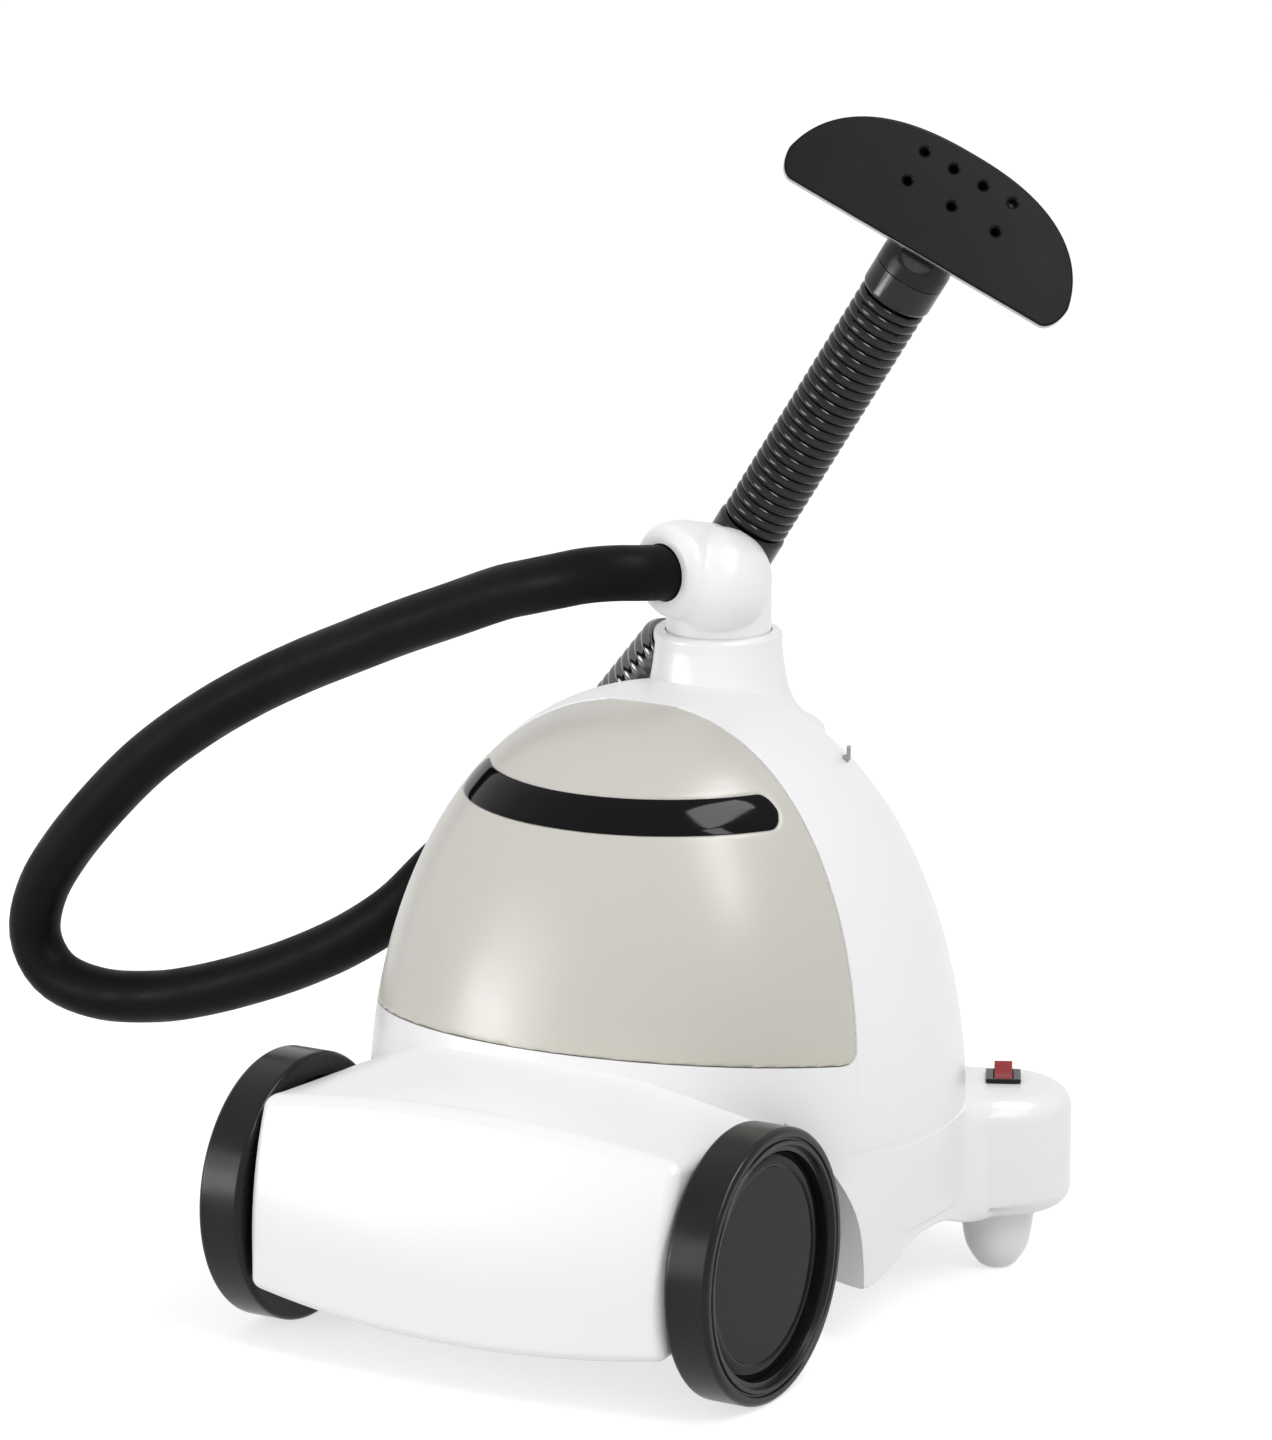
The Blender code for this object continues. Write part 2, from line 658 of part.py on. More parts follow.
def upright(x, y, z=0.0):
    return Matrix.Translation((x, y, z))


def gland_wall():
    """Outermost y of the base where the cord gland sits."""
    return max(point.y for point in base_ring(GLAND_FACE_Z))


# ---------------------------------------------------------------- lower housing
def lower_housing():
    body = base_form("lower_housing")
    join(body, front_form("front_body", cutter=True))
    cavity = inner_base_form("housing_cavity", WALL, 0.010, 0.166)
    join(cavity, front_form("front_cavity", WALL, cutter=True, open_below=0.030))
    cut(cavity, tank_zone("ceiling_over_cavity", back=WALL, drop=WALL), *wheel_wells("well_walls", WALL))
    cut(body, cavity, *wheel_wells("wheel_wells"))
    join(body, cylinder("valve_well_tube", WELL_TUBE_RADIUS, SEAT_Z, SEAM_FRONT_Z,
                        steps=28, matrix=upright(0, FILL_Y)))
    cut(body, tank_zone("tank_clearance", back=GAP, drop=GAP), rear_zone("rear_shell_clearance", -0.0))
    cut(body, cylinder("valve_well_bore", WELL_BORE, SEAT_Z - 0.01, 0.20, steps=28,
                       matrix=upright(0, FILL_Y) @ Matrix.Rotation(math.radians(5), 4, 'Z')))
    cut(body, cylinder("axle_bore", AXLE_RADIUS + GAP, -0.15, 0.15, steps=20,
                       matrix=axes((0, 0, WHEEL_RADIUS), (1, 0, 0), (0, 0, 1))))
    for side in (-1, 1):
        hollow = ((LOBE_BOSS, LOBE_CEILING_Z), (LOBE_HOLLOW - 0.002, LOBE_CEILING_Z),
                  (LOBE_HOLLOW, LOBE_CEILING_Z - 0.004), (LOBE_HOLLOW, 0.020), (LOBE_BOSS, 0.020))
        cut(body, turned(f"lobe_hollow_{side}", hollow, 16, cutter=True, matrix=upright(side * LOBE_X, LOBE_Y), loop=True))
        cut(body, cylinder(f"foot_socket_{side}", FOOT_SPIGOT_RADIUS + GAP, 0,
                           BASE_BOTTOM_Z + FOOT_SPIGOT_LENGTH + GAP, steps=20,
                           matrix=upright(side * LOBE_X, LOBE_Y)))
    pocket = box("switch_pocket", (SWITCH_BODY[0] + 2 * GAP, SWITCH_BODY[1] + 2 * GAP, SWITCH_DEPTH * 2 + 2 * GAP),
                 (SWITCH_X, SWITCH_Y, LOBE_TOP_Z), cutter=True, turn=SWITCH_TURN)
    cut(body, pocket)
    cut(body, cylinder("gland_hole", GLAND_HOLE_RADIUS, -0.02, 0.02, steps=20,
                       matrix=axes((0, gland_wall(), GLAND_Z), (0, 1, 0), (1, 0, 0))))
    return body


def bottom_plate():
    inset = WALL + PLATE_CLEARANCE
    plate = inner_base_form("bottom_plate", inset, 0.010, 0.166, WHITE)
    join(plate, front_form("bottom_plate_front", inset, cutter=True, open_below=0.030))
    cut(plate, *wheel_wells("plate_wells", inset))
    keep(plate, box("plate_slab", (0.50, 0.50, FLOOR_PLATE), (0, 0.12, PLATE_Z + FLOOR_PLATE / 2), cutter=True))
    for index, (x, y) in enumerate(((0.05, 0.13), (-0.05, 0.13), (0.0, 0.215))):
        post = cylinder(f"boiler_post_{index}", 0.005, PLATE_Z + FLOOR_PLATE / 2, PLATE_Z + 0.008 - GAP,
                        steps=16, matrix=upright(x, y))
        join(plate, post)
    return plate


def rear_feet():
    top = BASE_BOTTOM_Z - GAP
    for side, word in ((-1, "left"), (1, "right")):
        profile = ((0, BASE_BOTTOM_Z + FOOT_SPIGOT_LENGTH), (FOOT_SPIGOT_RADIUS, BASE_BOTTOM_Z + FOOT_SPIGOT_LENGTH),
                   (FOOT_SPIGOT_RADIUS, top), (FOOT_RADIUS, top), (FOOT_RADIUS - 0.0014, 0.022), (0.0160, 0.0115),
                   (0.0105, 0.0028), (FOOT_TIP_RADIUS, 0), (0, 0))
        turned(f"rear_foot_{word}", profile, 16, WHITE, matrix=upright(side * LOBE_X, LOBE_Y))


# ---------------------------------------------------------------- rear shell and neck
def rear_shell():
    body = dome_form("rear_shell", 0.0, 0.090, WHITE)
    neck_side = ((NECK_RADIUS, NECK_TOP_Z - 0.002), (NECK_RADIUS + 0.0022, 0.313), (NECK_RADIUS + 0.0055, 0.302),
                 (NECK_RADIUS + 0.0125, 0.292), (NECK_FLARE_RADIUS, NECK_FLARE_Z),
                 (NECK_FLARE_RADIUS - 0.003, 0.275), (NECK_FLARE_RADIUS - 0.011, NECK_ROOT_Z))
    neck = turned("neck_form", [(0, NECK_TOP_Z), (NECK_RADIUS - 0.002, NECK_TOP_Z), *neck_side, (0, NECK_ROOT_Z)],
                  22, cutter=True, matrix=upright(0, NECK_Y))
    throat = [(r - WALL, z - 0.5 * WALL) for r, z in neck_side[1:]]
    neck_void = turned("neck_void", [(0, CUP_FLOOR_Z - WALL), (throat[0][0], CUP_FLOOR_Z - WALL), *throat,
                                     (0, throat[-1][1])], 16, cutter=True, matrix=upright(0, NECK_Y))
    boss_matrix = axes(BOOT_START, BOOT_DIRECTION, (0, 0, 1))
    boss = turned("hose_boss", ((0, -3 * GAP), (BOSS_RADIUS, -3 * GAP), (BOSS_RADIUS - 0.004, -BOSS_REACH),
                                (0, -BOSS_REACH)), 16, cutter=True, matrix=boss_matrix)
    cavity = dome_form("rear_cavity", WALL, 0.080, cutter=True)
    keep(cavity, rear_zone("cavity_zone", -(WALL + GAP), 0.070))
    keep(body, rear_zone("rear_shell_zone", -GAP, SPLIT_Z + GAP))
    join(body, neck)
    cut(body, cavity, neck_void)
    cut(body, cylinder("boot_clearance", BOOT_RADIUS + 3 * GAP, -GAP, BOOT_LENGTH, steps=24, matrix=boss_matrix))
    join(body, boss)
    cut(body, cylinder("cradle_cup", ELBOW_RADIUS + 0.0006, CUP_FLOOR_Z, 0.40, steps=24,
                       matrix=upright(0, NECK_Y) @ Matrix.Rotation(math.radians(5), 4, 'Z')))
    return body


def cord_hook():
    """Small hook on the right shoulder of the rear shell."""
    spot = Vector((0.0810, 0.1880, 0.0))
    reach = math.hypot(spot.x, spot.y - DOME_Y)
    out = Vector((spot.x, spot.y - DOME_Y, 0)) / reach
    outline = ((0, -0.004), (0.0045, -0.004), (0.0060, -0.0025), (0.0060, 0.004), (0.0040, 0.004),
               (0.0040, -0.001), (0, -0.001))
    height = 0.2840
    start = Vector((0, DOME_Y, height)) + out * (dome_radius(height) - 0.0005)
    matrix = Matrix.Translation(start) @ Matrix((out, (0, 0, 1), out.cross(Vector((0, 0, 1))))).transposed().to_4x4()
    hook = prism("cord_hook", outline, 0.005, GREY_PLASTIC, matrix=matrix @ Matrix.Translation((0, 0, -0.0025)))
    cut(hook, dome_form("hook_seat", -GAP, 0.240, cutter=True, top=0.310))
    return hook


# ---------------------------------------------------------------- wheels and axle
def wheel(side, word):
    matrix = axes((side * WHEEL_TRACK / 2, 0, WHEEL_RADIUS), (side, 0, 0), (0, 0, 1))
    w = WHEEL_WIDTH / 2
    r = WHEEL_RADIUS
    rim = r - TYRE_DEPTH
    tyre = ((rim, w - CAP_RECESS + 0.003), (rim + 0.0022, w - CAP_RECESS + 0.003), (rim + 0.0040, w),
            (r - 0.0030, w), (r, w - 0.0030), (r, -w + 0.0030), (r - 0.0030, -w), (rim, -w))
    turned(f"tyre_{word}", tyre, 24, BLACK_SATIN, matrix=matrix, loop=True)
    web = w - CAP_RECESS - CAP_THICKNESS - 0.001
    bore = AXLE_RADIUS + GAP
    hub_rim = rim - GAP
    inner = -(WHEEL_TRACK / 2 - FRONT_HALF) + GAP
    hub = ((bore, web - 0.006), (HUB_BOSS_RADIUS + 0.002, web - 0.006), (hub_rim - 0.006, web - HUB_WEB + 0.001),
           (hub_rim - 0.004, web), (hub_rim, web), (hub_rim, -w + 0.004), (hub_rim - 0.004, -w + 0.004),
           (hub_rim - 0.005, web - 2 * HUB_WEB), (HUB_BOSS_RADIUS + 0.001, web - 2 * HUB_WEB - 0.002),
           (HUB_BOSS_RADIUS, inner), (bore, inner))
    turned(f"hub_{word}", hub, 24, BLACK_SATIN, matrix=matrix, loop=True)
    face = w - CAP_RECESS
    disc = ((0, face), (hub_rim - 0.004, face - 0.0004), (hub_rim, face - 0.0014), (hub_rim, web + GAP), (0, web + GAP))
    turned(f"wheel_cover_{word}", disc, 24, DISC_BLACK, matrix=matrix)
    stop = web - 0.006 + GAP
    nut = ((bore, stop + AXLE_NUT_LENGTH), (AXLE_NUT_RADIUS, stop + AXLE_NUT_LENGTH), (AXLE_NUT_RADIUS, stop), (bore, stop))
    turned(f"axle_nut_{word}", nut, 12, STEEL, matrix=matrix, loop=True)
    return WHEEL_TRACK / 2 + stop + AXLE_NUT_LENGTH - 0.0005


def wheels_and_axle():
    reach = [wheel(side, word) for side, word in ((-1, "left"), (1, "right"))][0]
    profile = ((0, reach), (AXLE_RADIUS - 0.0006, reach), (AXLE_RADIUS, reach - 0.0006),
               (AXLE_RADIUS, -reach + 0.0006), (AXLE_RADIUS - 0.0006, -reach), (0, -reach))
    turned("axle", profile, 16, STEEL, matrix=axes((0, 0, WHEEL_RADIUS), (1, 0, 0), (0, 0, 1)))


# ---------------------------------------------------------------- tank, cap and valve
def band_sections(grow, inner, outer, angle_limit):
    """Cross-sections of the grip band, or of its groove, round the front of the tank."""
    rings = []
    count = 16
    for k in range(count + 1):
        share = -math.cos(math.pi * k / count)
        angle = math.radians(angle_limit) * share
        end = max(0.0, 1 - ((1 - abs(share)) * math.radians(angle_limit) * dome_radius(BAND_Z) / BAND_HALF))
        half = BAND_HALF * math.sqrt(max(0.03, 1 - end * end)) + grow
        ring = []
        for z, depth in ((half, 0), (half, 1), (0, 1), (-half, 1), (-half, 0)):
            radius = dome_radius(BAND_Z + z) + (outer if depth else inner)
            ring.append(Vector((radius * math.sin(angle), DOME_Y - radius * math.cos(angle), BAND_Z + z)))
        rings.append(ring)
    return rings


def tank():
    body = dome_form("tank_shell", 0.0, 0.090, MILKY)
    keep(body, tank_zone("tank_outside"))
    join(body, cylinder("filler_neck", FILLER_RADIUS, CAP_BOTTOM_Z + CAP_FLOOR + 0.0015, seam_z(FILL_Y) + 0.001,
                        steps=24, matrix=upright(0, FILL_Y)))
    hollow = dome_form("tank_hollow", TANK_WALL, 0.080, cutter=True)
    keep(hollow, tank_zone("tank_inside", back=-TANK_WALL, drop=-TANK_WALL))
    cut(body, hollow)
    cut(body, loft("band_groove", band_sections(GAP, -BAND_DEPTH, 0.006, BAND_ANGLE + 0.4), cutter=True))
    cut(body, cylinder("filler_bore", NECK_BORE, 0.10, seam_z(FILL_Y) + 0.012, steps=24, matrix=upright(0, FILL_Y)))
    loft("tank_band", band_sections(0, -BAND_DEPTH + GAP, BAND_PROUD, BAND_ANGLE), BLACK_GLOSS)


def tank_cap():
    """Bayonet cap with the sprung valve that the base opens."""
    low, floor = CAP_BOTTOM_Z, CAP_BOTTOM_Z + CAP_FLOOR
    at_neck = upright(0, FILL_Y)
    inner = FILLER_RADIUS + GAP
    hole = STEM_RADIUS + GAP
    cap = ((inner, CAP_TOP_Z - 0.004), (CAP_RADIUS - 0.001, CAP_TOP_Z - 0.004), (CAP_RADIUS, CAP_TOP_Z - 0.005),
           (CAP_RADIUS, low + 0.001), (CAP_RADIUS - 0.001, low), (hole, low), (hole, floor), (inner, floor))
    body = turned("tank_cap", cap, 18, WHITE, matrix=at_neck, loop=True)
    for k in range(6):
        turn = 2 * math.pi * k / 6
        cut(body, cylinder(f"cap_grip_{k}", 0.0030, low - 0.001, CAP_TOP_Z, steps=8,
                           matrix=upright(CAP_RADIUS * 1.06 * math.cos(turn), FILL_Y + CAP_RADIUS * 1.06 * math.sin(turn))))
    seal_low = floor + GAP
    seal_top = seal_low + SEAL_THICKNESS
    seal = ((hole, seal_top), (CAGE_RADIUS - 0.0018, seal_top), (CAGE_RADIUS - 0.0018, seal_low), (hole, seal_low))
    turned("valve_seal", seal, 12, BLACK_SATIN, matrix=at_neck, loop=True)
    cage_top = seal_low + CAGE_HEIGHT
    cage = ((hole, cage_top), (CAGE_RADIUS - 0.001, cage_top), (CAGE_RADIUS, cage_top - 0.001), (CAGE_RADIUS, seal_low),
            (CAGE_RADIUS - 0.0015, seal_low), (CAGE_RADIUS - 0.0015, cage_top - 0.0018), (hole, cage_top - 0.0018))
    body = turned("valve_cage", cage, 12, WHITE, matrix=at_neck, loop=True)
    for turn in (0, 90):
        cut(body, box(f"cage_window_{turn}", (0.030, 0.007, 0.009), (0, FILL_Y, seal_top + 0.0065), cutter=True, turn=turn))
    head_low = seal_top + GAP
    stem = ((0, cage_top + 0.004), (STEM_RADIUS, cage_top + 0.004), (STEM_RADIUS, head_low + 0.002),
            (STEM_HEAD_RADIUS, head_low + 0.002), (STEM_HEAD_RADIUS, head_low), (STEM_RADIUS, head_low),
            (STEM_RADIUS, low - 0.002), (0, low - 0.002))
    turned("valve_stem", stem, 10, GREY_PLASTIC, matrix=at_neck)
    low_end, high_end = head_low + 0.002 + GAP, cage_top - 0.0018 - GAP
    inside = STEM_RADIUS + 0.0015
    turns = 4
    pitch = (high_end - low_end) / turns
    outer = [point for k in range(turns) for point in
             ((SPRING_RADIUS, high_end - k * pitch), (SPRING_RADIUS - 0.0007, high_end - (k + 0.5) * pitch))]
    spring = [(inside, high_end)] + outer + [(SPRING_RADIUS, low_end), (inside, low_end)]
    turned("valve_spring", spring, 10, STEEL, matrix=at_neck, loop=True)


def valve_seat():
    """Cup floor in the base with the pin that lifts the valve."""
    top = SEAT_Z + SEAT_THICKNESS
    radius = WELL_BORE - GAP
    pin_top = CAP_BOTTOM_Z - 0.002 - GAP
    profile = ((0, pin_top), (0.0015, pin_top), (0.0019, top), (radius - 0.003, top), (radius - 0.003, top + 0.001),
               (radius, top + 0.001), (radius, SEAT_Z), (0.0062, SEAT_Z), (0.0058, SEAT_Z - 0.010), (0, SEAT_Z - 0.010))
    turned("valve_seat", profile, 16, GREY_PLASTIC, matrix=upright(0, FILL_Y))


# ---------------------------------------------------------------- boiler and tubes
def boiler_parts():
    low = PLATE_Z + 0.008
    top = low + BOILER_HEIGHT
    at_boiler = upright(0, BOILER_Y)
    r = BOILER_RADIUS
    body = turned("boiler", ((0, top), (r - 0.010, top), (r - 0.003, top - 0.003), (r, top - 0.010), (r, low + 0.016),
                             (r + 0.004, low + 0.016), (r + 0.004, low + 0.012), (r, low + 0.012), (r, low + 0.003),
                             (r - 0.003, low), (0, low)), 20, ALUMINIUM, matrix=at_boiler)
    inlet = cylinder("boiler_inlet", 0.0055, r - 0.004, r + 0.010, steps=12,
                     matrix=axes((0, BOILER_Y, low + 0.024), (0, -1, 0), (1, 0, 0)))
    outlet = cylinder("boiler_outlet", 0.0055, top - 0.003, top + 0.010, steps=12,
                      matrix=upright(-0.020, BOILER_Y + 0.038))
    join(body, inlet, outlet)
    ring = r + 0.0043 + ELEMENT_RADIUS
    element = [(ring + x, low + 0.014 + z) for x, z in arc(ELEMENT_RADIUS, 30, -270, 5)]
    turned("heating_element", element, 20, STEEL, matrix=at_boiler, loop=True)
    for name, x, y, radius in (("thermostat", 0.022, BOILER_Y - 0.012, 0.011), ("thermal_fuse", -0.022, BOILER_Y - 0.012, 0.007)):
        rest = top + GAP
        turned(name, ((0, rest + 0.010), (radius * 0.6, rest + 0.010), (radius * 0.6, rest + 0.006), (radius, rest + 0.006),
                      (radius, rest), (0, rest)), 12, GREY_PLASTIC, matrix=upright(x, y))
    inlet_y = BOILER_Y - r - 0.010
    seat_end = SEAT_Z - 0.010
    water = smooth_path(((0, FILL_Y, seat_end - GAP), (0, FILL_Y, seat_end - 0.010), (0, FILL_Y + 0.004, low + 0.034),
                         (0, FILL_Y + 0.016, low + 0.025), (0, inlet_y - 0.006, low + 0.024),
                         (0, inlet_y - GAP, low + 0.024)), 0.006)
    tube("water_tube", water, TUBE_RADIUS, SILICONE)
    steam = smooth_path(((-0.020, BOILER_Y + 0.038, top + 0.010 + GAP), (-0.020, BOILER_Y + 0.038, top + 0.030),
                         (-0.022, BOILER_Y + 0.040, 0.170), (-0.026, BOILER_Y + 0.044, 0.220),
                         (-0.026, BOILER_Y + 0.047, 0.265), (-0.020, BOILER_Y + 0.044, 0.298)), 0.020)
    end = (-0.020, BOILER_Y + 0.044, CUP_FLOOR_Z - WALL - GAP)
    tube("steam_tube", [*steam, end], TUBE_RADIUS, SILICONE)


# ---------------------------------------------------------------- switch and cord gland
def switch():
    at_switch = Matrix.Translation((SWITCH_X, SWITCH_Y, LOBE_TOP_Z)) @ Matrix.Rotation(math.radians(SWITCH_TURN), 4, 'Z')
    lip = box("switch_bezel", (BEZEL[0], BEZEL[1], BEZEL_LIP), (0, 0, 0), BLACK_SATIN)
    lip.matrix_local = at_switch @ Matrix.Translation((0, 0, GAP + 0.0004 + BEZEL_LIP / 2))
    bevel(lip, 0.0006, 2)
    shank = box("switch_shank", (SWITCH_BODY[0], SWITCH_BODY[1], SWITCH_DEPTH), (0, 0, 0), cutter=True)
    shank.matrix_local = at_switch @ Matrix.Translation((0, 0, 0.0012 - SWITCH_DEPTH / 2))
    window = box("rocker_window", (ROCKER[0] + 4 * GAP, ROCKER[1] + 6 * GAP, 0.024), (0, 0, 0), cutter=True)
    window.matrix_local = at_switch @ Matrix.Translation((0, 0, 0.002))
    join(lip, shank)
    cut(lip, window)
    length = ROCKER[1] / 2
    outline = [(-length, -0.0010), (-length, 0.0028), (-length * 0.5, 0.0019), (0, 0.0016), (length * 0.5, 0.0034),
               (length, 0.0058), (length, -0.0010), (length * 0.45, -0.0050), (-length * 0.45, -0.0050)]
    outline = outline[::-1]
    sideways = Matrix(((0, 0, 1, -ROCKER[0] / 2), (1, 0, 0, 0), (0, 1, 0, 0), (0, 0, 0, 1)))
    rocker = prism("switch_rocker", outline, ROCKER[0], ROCKER_RED, matrix=sideways)
    rocker.matrix_local = (at_switch @ Matrix.Translation((0, 0, 0.0012))
                           @ Matrix.Rotation(math.radians(ROCKER_TILT), 4, 'X'))


def cord_gland():
    wall = gland_wall()
    profile = ((0.0033, 0.012), (0.0052, 0.012), (0.0075, 0.004), (0.0100, 0.0028), (0.0100, GAP), (0.0060, GAP),
               (0.0060, -0.008), (0.0033, -0.008))
    turned("cord_gland", profile, 12, BLACK_SATIN, matrix=axes((0, wall, GLAND_Z), (0, 1, 0), (1, 0, 0)), loop=True)


# ---------------------------------------------------------------- wand
ELBOW_CENTRE = Vector((0, NECK_Y, ELBOW_Z))
WAND_AXIS = Vector((math.sin(math.radians(WAND_TILT)), 0, math.cos(math.radians(WAND_TILT))))
PORT_AXIS = Vector((-math.cos(math.radians(PORT_ANGLE)), -math.sin(math.radians(PORT_ANGLE)), 0))
PORT_START = ELBOW_CENTRE + Vector((0, 0, PORT_RISE))
HANDLE_START = ELBOW_CENTRE - Vector(HOOD_OFFSET)


def arc(radius, start, end, count):
    """Points of a quarter arc about the origin, degrees from the local X axis."""
    return [(radius * math.cos(math.radians(start + (end - start) * k / count)),
             radius * math.sin(math.radians(start + (end - start) * k / count))) for k in range(count + 1)]


def elbow():
    """Post in the cradle, hood in front, socket of the handle behind and port of the hose."""
    low = CUP_FLOOR_Z + GAP - ELBOW_Z
    profile = [(0, ELBOW_RADIUS)] + arc(ELBOW_RADIUS, 78, 0, 4)
    profile += [(ELBOW_RADIUS, low + 0.003), (ELBOW_RADIUS - 0.003, low), (0, low)]
    body = turned("elbow", profile, 20, WHITE, matrix=Matrix.Translation(ELBOW_CENTRE))
    ball = [(0, ELBOW_RADIUS)] + arc(ELBOW_RADIUS, 72, -72, 7) + [(0, -ELBOW_RADIUS)]
    hood = turned("elbow_hood", ball, 18, cutter=True, matrix=Matrix.Translation(ELBOW_CENTRE + Vector(HOOD_OFFSET)))
    at_handle = axes(HANDLE_START, WAND_AXIS, (0, 1, 0))
    socket = cylinder("handle_socket", COLLAR_RADIUS, -0.010, LOWER_COLLAR_START + 0.004, steps=20, matrix=at_handle)
    port = [(0, PORT_LENGTH)] + [(PORT_RADIUS - PORT_LIP + x, PORT_LENGTH - PORT_LIP + z)
                                 for x, z in arc(PORT_LIP, 90, 0, 3)]
    port += [(PORT_RADIUS, PORT_LENGTH * 0.55), (PORT_ROOT_RADIUS, 0), (0, 0)]
    matrix = axes(PORT_START, PORT_AXIS, (0, 0, 1))
    join(body, hood, socket, turned("port_form", port, 20, cutter=True, matrix=matrix))
    cut(body, cylinder("port_bore", HOSE_RADIUS + 0.0008, PORT_LENGTH - PORT_BORE_DEPTH, PORT_LENGTH + 0.02,
                       steps=20, matrix=matrix))
    cut(body, cylinder("collar_clearance", COLLAR_RADIUS + 2 * GAP, LOWER_COLLAR_START, 0.08, steps=24,
                       matrix=at_handle))
    return body


def handle():
    matrix = axes(HANDLE_START, WAND_AXIS, (0, 1, 0))
    r = COLLAR_RADIUS
    start, end = LOWER_COLLAR_START + GAP, LOWER_COLLAR_END
    collar = ((0, end), (r - 0.002, end), (r - 0.001, end - 0.001), (r, end - 0.004), (r, start), (0, start))
    turned("lower_collar", collar, 16, GUNMETAL, matrix=matrix)
    low = end + GAP
    high = low + GRIP_LENGTH
    pitch = GRIP_LENGTH / GRIP_RIBS
    profile = [(0, high), (GRIP_VALLEY, high)]
    for k in range(GRIP_RIBS):
        top = high - k * pitch
        profile += [(GRIP_RADIUS, top - 0.5 * pitch), (GRIP_VALLEY, top - pitch)]
    profile += [(0, low)]
    turned("grip", profile, 10, GUNMETAL, matrix=matrix)
    low = high + GAP
    high = low + UPPER_COLLAR_LENGTH
    upper = ((0, high), (r, high), (r, low + 0.004), (r - 0.001, low + 0.001), (r - 0.002, low), (0, low))
    turned("upper_collar", upper, 16, GUNMETAL, matrix=matrix)
    return high + GAP


def half_moon(scale=1.0, shift=0.0, count=34):
    """Outline of the steam head: a superellipse above a straight edge with rounded ends."""
    length, height = HEAD_HALF_LENGTH * scale, HEAD_HEIGHT * scale
    points = []
    arch = count - 20
    for k in range(arch + 1):
        angle = math.pi * (0.06 + 0.88 * k / arch)
        c, s = math.cos(angle), math.sin(angle)
        points.append((length * math.copysign(abs(c) ** (2 / HEAD_ROUNDNESS), c), height * abs(s) ** (2 / HEAD_ROUNDNESS)))
    corner_x, corner_y = points[-1]
    for k in range(1, 6):
        t = math.radians(90 * k / 5)
        points.append((corner_x + HEAD_CORNER * 0.9 * (1 - math.cos(t)), corner_y * (1 - math.sin(t))))
    flat = points[-1][0]
    for k in range(1, 10):
        points.append((flat - 2 * flat * k / 9, 0.0))
    for k in range(1, 5):
        x, y = points[arch + 5 - k]
        points.append((-x, y))
    return [Vector((x, y + shift, 0)) for x, y in points]


def head(start):
    normal = Vector(HEAD_NORMAL).normalized()
    along = Vector(HEAD_LONG)
    along = (along - normal * along.dot(normal)).normalized()
    end = HANDLE_START + WAND_AXIS * HEAD_FROM_ELBOW
    matrix = axes(end + normal * HEAD_REACH, normal, along) @ Matrix.Translation((*HEAD_OFFSET, 0))
    lower = matrix @ Matrix.Translation((0, 0, -PLATE_THICKNESS))
    plate = prism("head_plate", [(p.x, p.y) for p in half_moon()], PLATE_THICKNESS, BLACK_SATIN)
    plate.data.shade_flat()
    plate.matrix_local = lower
    bevel(plate, 0.0012, 1)
    for count, pitch, height in HOLE_ROWS:
        for k in range(count):
            x = HOLE_SHIFT + pitch * (k - (count - 1) / 2)
            hole = cylinder(f"steam_hole_{count}_{k}", HOLE_RADIUS, -0.02, 0.02, steps=8,
                            matrix=matrix @ Matrix.Translation((x, height, 0)))
            cut(plate, hole)
    rear = matrix @ Matrix.Translation((0, 0, -PLATE_THICKNESS - GAP))
    rings = [[rear @ Vector((p.x, p.y, -depth)) for p in half_moon(scale, shift)]
             for scale, shift, depth in ((0.30, 0.0175, PAN_DEPTH), (0.56, 0.0115, PAN_DEPTH * 0.92),
                                         (0.80, 0.0060, PAN_DEPTH * 0.66), (0.93, 0.0026, PAN_DEPTH * 0.3),
                                         (0.955, 0.0020, -0.002))]
    body = loft("head_body", rings, BLACK_SATIN)
    throat = ((0, THROAT_LENGTH), (THROAT_RADIUS, THROAT_LENGTH), (COLLAR_RADIUS, 0.007), (COLLAR_RADIUS, 0), (0, 0))
    join(body, turned("head_throat", throat, 16, cutter=True,
                      matrix=axes(HANDLE_START + WAND_AXIS * start, WAND_AXIS, (0, 1, 0))))
    chamber = prism("steam_chamber", [(p.x, p.y) for p in half_moon(0.62, 0.015)], CHAMBER_DEPTH + 0.01, cutter=True)
    chamber.matrix_local = rear @ Matrix.Translation((0, 0, -CHAMBER_DEPTH))
    space = prism("plate_space", ((-0.1, -0.04), (0.1, -0.04), (0.1, 0.08), (-0.1, 0.08)), 0.04, cutter=True)
    space.matrix_local = rear
    cut(body, chamber, space)
    return body


